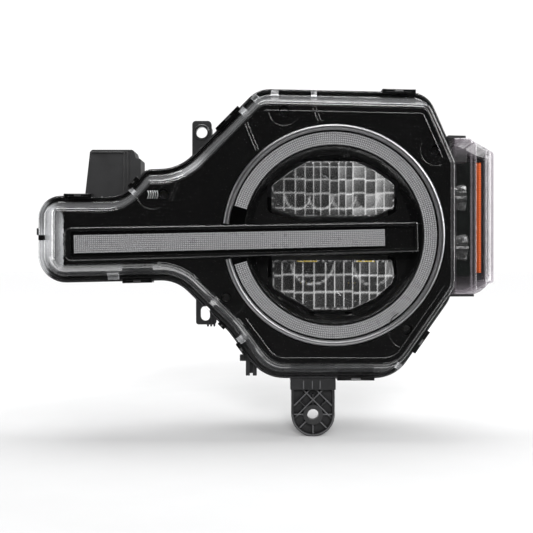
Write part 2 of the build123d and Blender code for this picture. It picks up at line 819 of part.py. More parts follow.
def make_bracket():
    """The ribbed lower bracket: round eye, crossing ribs and a foot under the housing."""
    top = body_bottom - 0.4
    half = bracket_half_width
    centre = Pos(mount_x, mount_z)
    outline = centre * Circle(bracket_round)
    outline += Pos(mount_x, (top + mount_z) / 2) * Rectangle(2 * bracket_round, top - mount_z)
    outline += Pos(mount_x, top - 6.2) * Rectangle(2 * half, 12.4)
    web_back = bracket_thickness
    body = plate(outline, web_back, web_back - bracket_web)
    rim_inner = centre * Circle(bracket_round - 2.6)
    rim_inner += Pos(mount_x, (top + mount_z) / 2) * Rectangle(2 * bracket_round - 5.2, top - mount_z)
    rim = outline - rim_inner
    body += plate(rim, web_back, 2)
    body += disc(mount_x, mount_z, bracket_hole_radius + 4.5, web_back, 0)
    ribs = []
    for angle in range(0, 180, 45):
        rib = Rot(0, 0, angle) * Rectangle(2 * bracket_round - 3, 1.8)
        ribs.append(centre * rib)
    for angle in (45, -45):
        for rise in (16, 30):
            ribs.append(Pos(mount_x, mount_z + rise) * Rot(0, 0, angle) * Rectangle(64, 1.8))
    for rib in ribs:
        body += plate(rib & outline, web_back, 3.5)
    body += plate(Pos(mount_x, top - 6.2) * Rectangle(2 * half, 12.4), web_back, 1)
    for offset in (-10.4, -0.9, 7.6):
        body += block(mount_x + offset - 0.9, mount_x + offset + 0.9, -0.6, 2, top - 12, top - 1)
    body += block(mount_x - half, mount_x + half, web_back - 1, flange_depth + 22, top - 4.6, top)
    body -= disc(mount_x, mount_z, bracket_hole_radius, web_back + 1, -2)
    for x in (mount_x - 14, mount_x + 14):
        body -= Pos(x, flange_depth + 13, top - 3) * Cylinder(screw_radius + 0.2, 20)
    shape("lower_bracket", body)
    screws = []
    for x in (mount_x - 14, mount_x + 14):
        shank = Pos(x, flange_depth + 13, top + 2) * Cylinder(screw_radius, 13.2)
        head = Pos(x, flange_depth + 13, top - 4.6 - screw_head_height / 2)
        screws.append(shank + head * Cylinder(screw_head_radius, screw_head_height))
    shape("bracket_screws", group(screws))


def make_corner_block():
    """The hollow corner block on top of the arm, with a ridge down its face."""
    neck = -ring_radius - neck_reach
    base = arm_rise - (channel_wall_inset - wall)
    points = [
        (neck - 43.5, base), (neck - 37, arm_rise + 51.6), (neck + 10.5, arm_rise + 51.6),
        (neck + 13, arm_rise + 42), (neck + 18.5, arm_rise + 42), (neck + 18.5, base + 30), (neck - 2, base),
    ]
    outer = rounded(points, [3, 4, 3, 2, 2, 3, 3], [0] * len(points))
    front = flange_depth + 2.4
    body = plate(outer, front + 34, front)
    body -= plate(rounded(points, [3, 4, 3, 2, 2, 3, 3], [wall] * len(points)), front + 34, front + wall)
    body += block(neck + 1, neck + 6, flange_depth + 0.6, front + 1, base + 8, arm_rise + 51)
    shape("corner_block", body - tub_envelope())


def make_small_parts():
    """The locating peg and the index key on the flange."""
    x, z = -ring_radius + 29.6, body_bottom
    back = flange_depth + 2
    peg = block(x - 6, x - 1.6, back, back + 10, z + 1, z + 22)
    peg += block(x + 1.6, x + 6, back, back + 10, z + 1, z + 22)
    peg += block(x - 6, x + 6, back, back + 10, z + 16, z + 30)
    peg += block(x - 12.6, x - 5, back + 1, back + 9, z + 17, z + 23.6)
    shape("locating_peg", peg - tub_envelope())
    key = block(-arm_reach - 2.4, -arm_reach - 0.1, 1, 9, 1, 8.5)
    shape("index_key", key)


# --- Rear parts


def cover_screw_places():
    """Centres of the service cover's four screws."""
    x, z = COVER_CENTRE
    places = []
    for index in range(4):
        angle = math.radians(45 + 90 * index)
        places.append((x + cover_screw_circle * math.cos(angle), z + cover_screw_circle * math.sin(angle)))
    return places


def driver_screw_places():
    """Centres of the LED driver's four screws."""
    x, z = DRIVER_CENTRE
    half_x, half_z = DRIVER_SIZE[0] / 2 - 6, DRIVER_SIZE[1] / 2 - 6
    return [(x + i * half_x, z + k * half_z) for i in (-1, 1) for k in (-1, 1)]


def make_service_cover():
    """The rear service cover with its seal ring and screws."""
    x, z = COVER_CENTRE
    seat = housing_depth + gasket_thickness
    cover = disc(x, z, cover_radius, seat + cover_thickness, seat)
    cover += tube(x, z, cover_hole - 4, cover_hole - 7, seat + cover_thickness + 4, seat)
    cover += tube(x, z, cover_hole - gap, cover_hole - gap - 2, seat, seat - 7)
    for index in range(12):
        angle = 30 * index
        rib = Pos(x, z) * Rot(0, 0, angle) * Pos(cover_radius - 14, 0) * Rectangle(16, 1.8)
        cover += plate(rib, seat + cover_thickness + 3, seat + cover_thickness - 0.5)
    for px, pz in cover_screw_places():
        cover -= disc(px, pz, screw_head_radius + 0.6, seat + cover_thickness + 5, seat + cover_thickness)
        cover -= disc(px, pz, screw_radius + 0.2, seat + cover_thickness + 1, seat - 1)
    shape("service_cover", cover)
    shape("service_cover_seal", tube(x, z, cover_hole + 6, cover_hole + 1, seat, housing_depth))
    depth = cover_thickness + gasket_thickness + wall
    screws = [screw(px, pz, seat + cover_thickness, depth, -1) for px, pz in cover_screw_places()]
    shape("service_cover_screws", group(screws))


def make_driver():
    """The LED driver on the back of the arm, with its gasket and screws."""
    x, z = DRIVER_CENTRE
    width, height, depth = DRIVER_SIZE
    seat = arm_depth + gasket_thickness
    case = plate(Pos(x, z) * RectangleRounded(width, height, 4), seat + 3, seat)
    case += plate(Pos(x, z) * RectangleRounded(width - 26, height - 4, 4), seat + depth - 6, seat)
    fins = 9
    for index in range(fins):
        fx = x - (width - 34) / 2 + index * (width - 34) / (fins - 1)
        case += block(fx - 1, fx + 1, seat + depth - 7, seat + depth, z - height / 2 + 5, z + height / 2 - 5)
    for px, pz in driver_screw_places():
        case -= disc(px, pz, screw_radius + 0.2, seat + 3, seat)
    shape("led_driver", case)
    gasket = plate(Pos(x, z) * RectangleRounded(width - 24, height - 6, 4), seat, arm_depth)
    gasket -= plate(Pos(x, z) * RectangleRounded(width - 32, height - 14, 3), seat, arm_depth)
    shape("driver_gasket", gasket)
    length = 3 + gasket_thickness + wall
    screws = [screw(px, pz, seat + 3, length, -1) for px, pz in driver_screw_places()]
    shape("driver_screws", group(screws))


def make_connector():
    """The main connector inlet with its contact pins."""
    x, z = CONNECTOR_CENTRE
    back = housing_depth + connector_depth
    outer = plate(Pos(x, z) * RectangleRounded(connector_width, connector_height, 4), back, housing_depth)
    outer += plate(Pos(x, z) * RectangleRounded(connector_width + 8, connector_height + 8, 5), housing_depth + 2.4,
                   housing_depth)
    hollow = plate(Pos(x, z) * RectangleRounded(connector_width - 2 * connector_wall,
                                                connector_height - 2 * connector_wall, 2), back, housing_depth + 4)
    body = outer - hollow
    body += block(x - 6, x + 6, housing_depth + 8, back - 4, z + connector_height / 2 - 1, z + connector_height / 2 + 3)
    pins = []
    for row in (-1, 1):
        for column in range(6):
            px = x - 15 + 6 * column
            pins.append(block(px - 1.1, px + 1.1, housing_depth - 4, back - 8, z + row * 4.6 - 0.4, z + row * 4.6 + 0.4))
    for pin in pins:
        body -= pin
    shape("main_connector", body)
    shape("connector_pins", group(pins))


def make_vents():
    """Breather caps over the housing's two vent holes."""
    caps = []
    for x, z in VENTS:
        cap = disc(x, z, 11, housing_depth + 9, housing_depth + 3)
        cap += tube(x, z, 8, 5, housing_depth + 3, housing_depth)
        caps.append(cap)
    shape("vent_caps", group(caps))


def make_harness():
    """The wire bundle inside the housing, from the connector to the LED driver."""
    x, z = CONNECTOR_CENTRE
    run_y = housing_depth - wall - 7
    low_z = -aim_arm + 34
    dx, dz = DRIVER_CENTRE
    points = [
        (x, run_y, z), (x - 18, run_y, low_z), (x - 60, run_y, low_z), (-ring_radius + 44, run_y, low_z + 16),
        (-ring_radius + 24, run_y - 14, low_z + 36), (-ring_radius - 10, arm_depth - 18, dz), (dx + 30, arm_depth - 14, dz),
    ]
    path = Spline(*points)
    section = Plane(origin=path @ 0, z_dir=path % 0) * Circle(2.4)
    shape("inner_harness", sweep(section, path=path))


LOW_CENTRE = (module_top + module_low_edge) / 2
HIGH_CENTRE = (high_beam_top + high_beam_bottom) / 2

make_housing()
make_outer_lens()
make_seal()
make_clips()
make_bezel()
make_trim_ring()
make_halo()
make_inner_cone()
make_bar()
make_module("low_beam", low_beam_face, LOW_CENTRE, (module_top - module_low_edge) / 2 - 6)
make_module("high_beam", high_beam_face, HIGH_CENTRE, (high_beam_top - high_beam_bottom) / 2 - 5)
make_carrier()
make_aiming_gear()
make_marker()
make_bracket()
make_corner_block()
make_small_parts()
make_service_cover()
make_driver()
make_connector()
make_vents()
make_harness()

os.makedirs("parts", exist_ok=True)
for node, solid in NODES.items():
    export_step(solid, f"parts/{node}.step")
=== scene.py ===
"""Looks of a car headlight: clear lenses, gloss trim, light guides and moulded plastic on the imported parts.

All sizes are millimetres about the halo ring's centre, with x outboard, y to the rear and z up. The flange
that the clear lens stands on is at y = 0.
"""

import json
import logging
import math
from dataclasses import dataclass, field
from enum import Enum
from typing import Sequence

import bmesh
import bpy
import numpy as np
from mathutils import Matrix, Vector


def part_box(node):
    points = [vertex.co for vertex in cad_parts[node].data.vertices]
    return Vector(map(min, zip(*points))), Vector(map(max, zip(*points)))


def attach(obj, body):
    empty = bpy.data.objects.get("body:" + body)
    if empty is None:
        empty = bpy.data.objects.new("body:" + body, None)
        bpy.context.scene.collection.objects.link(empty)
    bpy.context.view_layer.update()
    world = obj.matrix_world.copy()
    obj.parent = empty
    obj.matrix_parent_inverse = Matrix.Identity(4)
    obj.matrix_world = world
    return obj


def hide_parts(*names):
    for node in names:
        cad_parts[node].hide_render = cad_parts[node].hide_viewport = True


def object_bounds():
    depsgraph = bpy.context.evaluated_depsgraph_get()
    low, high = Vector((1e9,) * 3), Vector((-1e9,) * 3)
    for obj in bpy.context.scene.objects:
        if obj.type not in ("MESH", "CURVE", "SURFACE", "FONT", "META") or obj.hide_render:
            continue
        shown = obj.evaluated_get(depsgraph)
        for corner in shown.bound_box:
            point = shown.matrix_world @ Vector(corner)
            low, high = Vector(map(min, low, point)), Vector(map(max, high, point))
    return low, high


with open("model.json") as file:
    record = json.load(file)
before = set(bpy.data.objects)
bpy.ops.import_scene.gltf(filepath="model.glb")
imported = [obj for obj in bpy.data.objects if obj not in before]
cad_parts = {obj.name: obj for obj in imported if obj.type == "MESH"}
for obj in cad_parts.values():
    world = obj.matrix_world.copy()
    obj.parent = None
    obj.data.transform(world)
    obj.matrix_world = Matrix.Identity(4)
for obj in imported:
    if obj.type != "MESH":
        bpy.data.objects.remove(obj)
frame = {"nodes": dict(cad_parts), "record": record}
CAD_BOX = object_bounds()

LOG = logging.getLogger("headlight")
MM = 0.001
WELD = 0.004
ARM = 317.0
FOOT_INSET = 1.2
LENS_REACH = 36.0
Array = np.ndarray


def home() -> Array:
    """The ring's centre on the flange plane, in millimetres in the row frame."""
    cone_low, cone_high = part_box("inner_cone")
    lens_low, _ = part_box("outer_lens")
    lens_corner = np.array([lens_low.x, lens_low.y, (cone_low.z + cone_high.z) / 2]) / MM
    return lens_corner + np.array([ARM - FOOT_INSET, LENS_REACH, 0.0])


HOME = home()


class Body(str, Enum):
    """The CAD bodies that pieces ride on."""

    LAMP = "lamp_body"
    BEAMS = "beam_modules"


# ---------------------------------------------------------------- outlines and surfaces


@dataclass(frozen=True)
class Outline:
    """A closed outline of straight sides with rounded corners, clockwise seen from the front.

    Attributes:
        corners: the sharp corners, x and z.
        radii: the fillet radius of each corner.
    """

    corners: tuple[tuple[float, float], ...]
    radii: tuple[float, ...]

    def moved(self, amounts: Array) -> Array:
        """Corners after side i, from corner i to the next, is moved in by amounts[i]."""
        points = np.array(self.corners)
        along = np.roll(points, -1, axis=0) - points
        along /= np.linalg.norm(along, axis=1, keepdims=True)
        inward = np.stack([along[:, 1], -along[:, 0]], 1)
        base = points + inward * amounts[:, None]
        before, before_base = np.roll(along, 1, axis=0), np.roll(base, 1, axis=0)
        cross = before[:, 0] * along[:, 1] - before[:, 1] * along[:, 0]
        gap = base - before_base
        reach = (gap[:, 0] * along[:, 1] - gap[:, 1] * along[:, 0]) / cross
        return before_base + before * reach[:, None]

    def loop(self, amounts: float | Array, arc: int = 12, straight: int = 6) -> Array:
        """Points round the outline moved in by the amounts, the same number whatever the amounts are.

        Each corner is an arc that turns evenly from the side before it to the side after it, and each side is
        cut into equal steps between two arcs.

        Args:
            amounts: one amount, or one for each side.
            arc: points on each corner's arc.
            straight: points inside each straight side.

        Returns:
            An array of shape (n, 2).
        """
        amounts = np.broadcast_to(np.asarray(amounts, float), (len(self.corners),))
        points = self.moved(amounts)
        before = points - np.roll(points, 1, axis=0)
        before /= np.linalg.norm(before, axis=1, keepdims=True)
        after = np.roll(before, -1, axis=0)
        cross = before[:, 0] * after[:, 1] - before[:, 1] * after[:, 0]
        turn = np.arctan2(cross, (before * after).sum(1))
        shift = (np.roll(amounts, 1) + amounts) / 2
        radius = np.maximum(np.array(self.radii) + np.sign(turn) * shift, 2.0)
        cut = radius * np.tan(np.abs(turn) / 2)
        side = np.stack([-before[:, 1], before[:, 0]], 1) * np.sign(turn)[:, None]
        start = points - before * cut[:, None]
        centre = start + side * radius[:, None]
        angle = turn[:, None] * np.linspace(0, 1, arc)[None, :]
        cos, sin = np.cos(angle), np.sin(angle)
        spoke = -side * radius[:, None]
        arcs = centre[:, None, :] + np.stack([
            spoke[:, :1] * cos - spoke[:, 1:] * sin, spoke[:, :1] * sin + spoke[:, 1:] * cos], -1)
        share = np.linspace(0, 1, straight + 2)[1:-1]
        last, following = arcs[:, -1], np.roll(arcs[:, 0], -1, axis=0)
        sides = last[:, None, :] + (following - last)[:, None, :] * share[None, :, None]
        return np.concatenate([arcs, sides], 1).reshape(-1, 2)

    def spot(self, side: int, share: float) -> tuple[Array, Array, Array]:
        """A point part of the way along a side, the side's direction and the direction inward."""
        start, end = np.array(self.corners[side]), np.array(self.corners[(side + 1) % len(self.corners)])
        along = (end - start) / np.linalg.norm(end - start)
        return start + (end - start) * share, along, np.array([along[1], -along[0]])


def at_depth(loop: Array, depth: float | Array) -> Array:
    """Gives (n, 2) points of x and z a depth, as (n, 3) points."""
    depth = np.broadcast_to(depth, (len(loop),))
    return np.stack([loop[:, 0], depth, loop[:, 1]], 1)


def bump(distance: Array, width: float) -> Array:
    """A smooth hill, 1 where the distance is nought and 0 from the width outwards."""
    share = np.clip(1 - np.abs(distance) / width, 0, 1)
    return share * share * (3 - 2 * share)


def fade(value: Array) -> Array:
    """A smooth fall from 1, far below nought, to 0, far above it."""
    return 1 / (1 + np.exp(value))


def joined(x: float | Array, y: float | Array, z: float | Array) -> Array:
    """Points from x, y and z, each spread over the others' shape."""
    return np.stack(np.broadcast_arrays(x, y, z), -1)


def in_scene(name: str, data: bpy.types.ID) -> bpy.types.Object:
    """Makes an object from its data and links it to the scene."""
    made = bpy.data.objects.new(name, data)
    bpy.context.scene.collection.objects.link(made)
    return made


class Surface:
    """A mesh gathered from grids of points, in millimetres about the ring's centre."""

    def __init__(self) -> None:
        """Starts with no points and no faces."""
        self.points: list[Array] = []
        self.tones: list[Array] = []
        self.corners: list[Array] = []
        self.totals: list[Array] = []
        self.count = 0

    def _faces(self, faces: Array) -> None:
        """Keeps faces of one corner count."""
        self.corners.append(faces.reshape(-1))
        self.totals.append(np.full(len(faces), faces.shape[1]))

    def grid(self, points: Array, wrap: bool = False, tone: float | Array = 0.0) -> None:
        """Adds a grid of points joined by quads.

        Args:
            points: array of shape (rows, columns, 3).
            wrap: whether the last column joins the first.
            tone: painted light for each point, highlight or shade, kept as the attribute tone.
        """
        rows, columns = points.shape[:2]
        joins = columns if wrap else columns - 1
        row, column = np.meshgrid(np.arange(rows - 1), np.arange(joins), indexing="ij")
        a = row * columns + column
        b = row * columns + (column + 1) % columns
        faces = np.stack([a, b, b + columns, a + columns], -1).reshape(-1, 4) + self.count
        self._faces(faces)
        self.points.append(points.reshape(-1, 3))
        self.tones.append(np.broadcast_to(tone, (rows, columns)).reshape(-1))
        self.count += rows * columns

    def cap(self, loop: Array, tone: float = 0.0) -> None:
        """Closes a loop of points with one flat face."""
        self._faces((np.arange(len(loop)) + self.count)[None, :])
        self.points.append(loop)
        self.tones.append(np.full(len(loop), tone))
        self.count += len(loop)

    def slab(self, front: Array, back: Array, tone: float | Array = 0.0) -> None:
        """Adds a solid between two grids of one size: both faces and the four edge walls."""
        self.grid(front, tone=tone)
        self.grid(back)
        edges = ((front[0], back[0]), (front[-1], back[-1]),
                 (front[:, 0], back[:, 0]), (front[:, -1], back[:, -1]))
        for near, far in edges:
            self.grid(np.stack([near, far]))

    def plate(self, face: Array, way: tuple[float, float, float], tone: float | Array = 0.0) -> None:
        """Adds a solid that reaches from a face by a step."""
        self.slab(face, face + np.array(way), tone=tone)

    def build(self, name: str, paints: "Paints", slot: str, body: Body = Body.LAMP, finish: str = "",
              replaces: Sequence[str] = (), sharp: float = 35.0) -> None:
        """Makes the piece: welds its seams, turns its faces outward, parents it to its body and hides the CAD
        nodes it stands for.

        Args:
            name: the piece's name.
            paints: the scene's materials.
            slot: the record's material slot.
            body: the CAD body it rides on.
            finish: its finish, when that isn't the slot's own.
            replaces: CAD nodes that it stands for.
            sharp: edges that turn by more than this many degrees stay sharp.
        """
        mesh = bpy.data.meshes.new(name)
        points = (np.concatenate(self.points) + HOME) * MM
        corners, totals = np.concatenate(self.corners), np.concatenate(self.totals)
        mesh.vertices.add(len(points))
        mesh.vertices.foreach_set("co", points.astype(np.float32).ravel())
        mesh.loops.add(len(corners))
        mesh.loops.foreach_set("vertex_index", corners.astype(np.int32))
        mesh.polygons.add(len(totals))
        mesh.polygons.foreach_set("loop_start", (np.cumsum(totals) - totals).astype(np.int32))
        mesh.polygons.foreach_set("loop_total", totals.astype(np.int32))
        mesh.update(calc_edges=True)
        # The tone attribute carries painted light, which the finishes turn into lighter colour or more cover.
        tone = mesh.attributes.new("tone", "FLOAT", "POINT")
        tone.data.foreach_set("value", np.concatenate(self.tones).astype(np.float32))
        work = bmesh.new()
        work.from_mesh(mesh)
        bmesh.ops.remove_doubles(work, verts=work.verts, dist=WELD * MM)
        bmesh.ops.dissolve_degenerate(work, edges=work.edges, dist=WELD * MM)
        bmesh.ops.recalc_face_normals(work, faces=work.faces)
        work.to_mesh(mesh)
        work.free()
        mesh.polygons.foreach_set("use_smooth", np.full(len(mesh.polygons), True))
        mesh.set_sharp_from_angle(angle=math.radians(sharp))
        mesh.materials.append(paints[finish or slot])
        piece = in_scene(name, mesh)
        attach(piece, body.value)
        if replaces:
            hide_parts(*replaces)
        LOG.info("%s: %d faces", name, len(mesh.polygons))


# ---------------------------------------------------------------- finishes

MIDDLE = (0.3, 0.7)
GLOSS_BAND = (0.3, 0.75)
SLOW_SIZE = 22.0
GLOSS_SIZE = 12.0
HAZE_BAND = (0.3, 0.8)
COAT_ROUGHNESS = 0.04
# Share of lit grey body in a clear skin where the tone attribute marks painted reflection.
EDGE_GLOW = 0.75
Colour = tuple[float, float, float]
Socket = bpy.types.NodeSocket


class Nodes:
    """A small hand for wiring a shader."""

    def __init__(self, name: str, world: bpy.types.World | None = None) -> None:
        """Opens a new material, or a world, with an empty node tree."""
        self.material = world or bpy.data.materials.new(name)
        self.material.use_nodes = True
        self.tree = self.material.node_tree
        self.tree.nodes.clear()
        self.output = self.add("ShaderNodeOutputWorld" if world else "ShaderNodeOutputMaterial")

    def add(self, kind: str, **inputs: object) -> bpy.types.Node:
        """Adds a node. Inputs are values or sockets, named as on the node with _ for a space."""
        node = self.tree.nodes.new(kind)
        for key, value in inputs.items():
            self.put(node, key.replace("_", " "), value)
        return node

    def put(self, node: bpy.types.Node, key: str | int, value: object) -> None:
        """Sets or links one input."""
        if isinstance(value, Socket):
            self.tree.links.new(value, node.inputs[key])
        else:
            node.inputs[key].default_value = value

    def filled(self, kind: str, values: dict[int, object]) -> Socket:
        """Adds a node with these values on its numbered inputs. Gives its output."""
        node = self.add(kind)
        for key, value in values.items():
            self.put(node, key, value)
        return node.outputs[0]

    def sum(self, operation: str, first: object, second: object = 0.0, clamp: bool = False) -> Socket:
        """One step of arithmetic."""
        node = self.add("ShaderNodeMath")
        node.operation = operation
        node.use_clamp = clamp
        self.put(node, 0, first)
        self.put(node, 1, second)
        return node.outputs[0]

    def spread(self, value: object, low: float, high: float, to_low: float, to_high: float) -> Socket:
        """Maps a range onto another, clamped."""
        return self.add("ShaderNodeMapRange", Value=value, From_Min=low, From_Max=high, To_Min=to_low,
                        To_Max=to_high).outputs[0]

    def mix(self, share: object, first: object, second: object) -> Socket:
        """Goes from the first value to the second as the share goes from 0 to 1."""
        return self.filled("ShaderNodeMix", {0: share, 2: first, 3: second})

    def blend(self, share: object, first: Socket, second: Socket) -> Socket:
        """Goes from the first shader to the second as the share goes from 0 to 1."""
        return self.filled("ShaderNodeMixShader", {0: share, 1: first, 2: second})

    def noise(self, size: float, detail: float = 3.0) -> Socket:
        """Noise whose lumps are about size millimetres."""
        place = self.add("ShaderNodeTexCoord")
        node = self.add("ShaderNodeTexNoise", Vector=place.outputs["Object"], Scale=1 / (size * MM),
                        Detail=detail)
        return node.outputs["Fac"]

    def tone(self) -> Socket:
        """The painted light, highlight or shade, that a piece's points carry as the attribute tone."""
        node = self.add("ShaderNodeAttribute")
        node.attribute_name = "tone"
        return node.outputs["Fac"]

    def tinted(self, colour: Colour, factor: object) -> Socket:
        """A colour made lighter or darker by a factor."""
        node = self.add("ShaderNodeVectorMath")
        node.operation = "SCALE"
        node.inputs[0].default_value = colour
        self.put(node, "Scale", factor)
        return node.outputs[0]

    def close(self, shader: Socket) -> bpy.types.Material:
        """Ends the tree with its shader."""
        self.tree.links.new(shader, self.output.inputs["Surface"])
        return self.material


@dataclass(frozen=True)
class Finish:
    """An opaque finish.

    Attributes:
        colour: linear base colour.
        roughness: middle roughness.
        metallic: 1 for bare metal.
        coat: strength of the clear gloss over it.
        ior: index of refraction of the surface.
        mottle: share by which the colour wanders.
        grain: height of the fine grain, in millimetres.
        grain_size: size of the grain, in millimetres.
        tone_gain: how much the tone attribute brightens the colour, as a painted highlight.
    """

    colour: Colour
    roughness: float
    metallic: float = 0.0
    coat: float = 0.0
    ior: float = 1.5
    mottle: float = 0.12
    grain: float = 0.0
    grain_size: float = 0.8
    tone_gain: float = 0.0

    def paint(self, name: str) -> bpy.types.Material:
        """Builds the material: wandering colour, uneven gloss, fine specks, a fine raised grain and a painted
        highlight where the tone attribute is up.
        """
        nodes = Nodes(name)
        half = self.mottle / 2
        factor = nodes.spread(nodes.noise(SLOW_SIZE, 4.0), *MIDDLE, 1 - self.mottle, 1 + self.mottle)
        speck = nodes.spread(nodes.noise(self.grain_size, 2.0), *MIDDLE, 1 - half, 1 + half)
        factor = nodes.sum("MULTIPLY", factor, speck)
        # Painted highlight: the colour is lifted where the piece's tone attribute marks it.
        if self.tone_gain:
            lift = nodes.spread(nodes.tone(), 0, 1, 1, 1 + self.tone_gain)
            factor = nodes.sum("MULTIPLY", factor, lift)
        dull, duller = self.roughness * 0.85, self.roughness * 1.2
        rough = nodes.spread(nodes.noise(GLOSS_SIZE, 2.0), *GLOSS_BAND, dull, duller)
        shader = nodes.add("ShaderNodeBsdfPrincipled", Base_Color=nodes.tinted(self.colour, factor),
                           Roughness=rough, Metallic=self.metallic, IOR=self.ior, Coat_Weight=self.coat,
                           Coat_Roughness=COAT_ROUGHNESS)
        if self.grain:
            relief = nodes.add("ShaderNodeBump", Distance=self.grain * MM, Strength=1.0,
                               Height=nodes.noise(self.grain_size, 2.0))
            nodes.put(shader, "Normal", relief.outputs[0])
        return nodes.close(shader.outputs[0])


@dataclass(frozen=True)
class ClearFinish:
    """A clear plastic that shows what is behind it.

    Attributes:
        tint: colour of the light that its edges carry.
        glow: share of that edge light in the part that does not go through.
        roughness: gloss of its surface.
        facing: how much it covers seen square on.
        grazing: how much it covers at a glancing angle.
        power: how fast it goes from one to the other.
        tone_gain: extra cover where the tone attribute is 1, a painted reflection.
    """

    tint: Colour = (0.75, 0.76, 0.78)
    glow: float = 0.35
    roughness: float = 0.04
    facing: float = 0.05
    grazing: float = 0.9
    power: float = 3.0
    tone_gain: float = 0.0

    def paint(self, name: str) -> bpy.types.Material:
        """Builds the material: clear face on, bright towards glancing angles, faintly uneven, with painted
        reflection where the tone attribute is up.
        """
        nodes = Nodes(name)
        facing = nodes.add("ShaderNodeLayerWeight", Blend=0.5)
        edge = nodes.sum("POWER", facing.outputs["Facing"], self.power)
        cover = nodes.spread(edge, 0, 1, self.facing, self.grazing)
        # Painted reflection: where the tone attribute is up, the plastic covers more of what is behind it and
        # its skin turns towards the lit grey body.
        painted_sheen = nodes.sum("MULTIPLY", nodes.tone(), self.tone_gain)
        cover = nodes.sum("ADD", cover, painted_sheen, clamp=True)
        glow = nodes.spread(nodes.tone(), 0, 1, self.glow, EDGE_GLOW)
        haze = nodes.spread(nodes.noise(14.0, 4.0), *HAZE_BAND, 0.92, 1.08)
        cover = nodes.sum("MULTIPLY", cover, haze, clamp=True)
        rough = nodes.spread(nodes.noise(9.0, 2.0), *GLOSS_BAND, self.roughness * 0.7, self.roughness * 1.5)
        gloss = nodes.add("ShaderNodeBsdfGlossy", Color=(1, 1, 1, 1), Roughness=rough)
        body = nodes.add("ShaderNodeBsdfDiffuse", Color=nodes.tinted(self.tint, haze))
        skin = nodes.blend(glow, gloss.outputs[0], body.outputs[0])
        through = nodes.add("ShaderNodeBsdfTransparent", Color=(1, 1, 1, 1))
        return nodes.close(nodes.blend(cover, through.outputs[0], skin))


# tone_gain lifts a finish's colour, or a clear finish's cover, where a piece's tone attribute marks painted
# light: rib crowns, prism tops, clip tongues, the amber prisms and lens walls.
FINISHES: dict[str, Finish | ClearFinish] = {
    "housing_plastic": Finish((0.012, 0.012, 0.0125), 0.42, grain=0.05, grain_size=0.7, mottle=0.2),
    "bracket_plastic": Finish((0.013, 0.013, 0.0135), 0.45, grain=0.06, grain_size=0.6, mottle=0.2,
                              tone_gain=3.5),
    "grey_plastic": Finish((0.016, 0.016, 0.0165), 0.5, grain=0.05, grain_size=0.7, mottle=0.15),
    "clear_polycarbonate": ClearFinish(facing=0.003, grazing=0.75, glow=0.1, power=2.8, tone_gain=0.6),
    "marker_polycarbonate": ClearFinish(tint=(0.24, 0.215, 0.24), facing=0.005, grazing=0.75, glow=0.7,
                                        power=3.4, tone_gain=0.8),
    "clear_optics": ClearFinish(tint=(0.88, 0.88, 0.88), glow=0.2, facing=0.018, grazing=0.9, power=2.6,
                                tone_gain=0.45),
    "light_guide": Finish((0.05, 0.05, 0.051), 0.3, mottle=0.02, tone_gain=2.6),
    "gloss_black": Finish((0.002, 0.002, 0.002), 0.07, ior=2.0, mottle=0.1),
    "satin_black": Finish((0.003, 0.003, 0.003), 0.16, ior=1.8, mottle=0.15),
    "bright_trim": Finish((0.6, 0.6, 0.61), 0.38, metallic=1.0, mottle=0.02),
    "reflector_bright": Finish((0.42, 0.42, 0.43), 0.22, metallic=1.0, mottle=0.05),
    "amber_optic": Finish((0.19, 0.028, 0.0004), 0.4, mottle=0.1, tone_gain=0.9),
    "circuit_board": Finish((0.003, 0.004, 0.0035), 0.55, ior=1.15, mottle=0.25, grain=0.02, grain_size=1.5),
    "led_phosphor": Finish((0.85, 0.62, 0.06), 0.4, coat=0.5, mottle=0.08),
    "die_cast_aluminium": Finish((0.46, 0.46, 0.47), 0.42, metallic=1.0, grain=0.05, grain_size=1.0,
                                 mottle=0.15),
    "zinc_steel": Finish((0.5, 0.5, 0.5), 0.3, metallic=1.0, grain=0.01, grain_size=0.5, mottle=0.15),
    "bushing_steel": Finish((0.4, 0.4, 0.4), 0.32, metallic=1.0, grain=0.01, grain_size=0.5, mottle=0.15),
    "spring_steel": Finish((0.07, 0.07, 0.07), 0.3, metallic=1.0, grain=0.02, grain_size=0.8, mottle=0.2,
                           tone_gain=8.0),
    "sealant": Finish((0.015, 0.015, 0.015), 0.6, grain=0.1, grain_size=2.0, mottle=0.2),
    "gasket_rubber": Finish((0.012, 0.012, 0.012), 0.65, grain=0.04, grain_size=0.8, mottle=0.2),
    "contact_brass": Finish((0.7, 0.5, 0.22), 0.25, metallic=1.0, mottle=0.12, grain=0.01),
    "cable_sleeve": Finish((0.02, 0.02, 0.02), 0.55, grain=0.08, grain_size=1.2, mottle=0.2),
    "white_nylon": Finish((0.62, 0.61, 0.57), 0.4, coat=0.1, mottle=0.06, grain=0.02),
}


class Paints:
    """The scene's materials: one for each slot of the record, and one more for the marker's lens."""

    def __init__(self) -> None:
        """Builds every finish once."""
        self.made = {name: finish.paint(name) for name, finish in FINISHES.items()}

    def __getitem__(self, name: str) -> bpy.types.Material:
        """The material of a name."""
        return self.made[name]


# ---------------------------------------------------------------- the lamp's own lines

RING = 117.0
BODY_TOP = RING + 42.0
BODY_BOTTOM = -RING - 36.6
BODY_SIDE = RING + 12.0
END_SIDE, TOP_SIDE, OUTBOARD_SIDE = 0, 5, 7

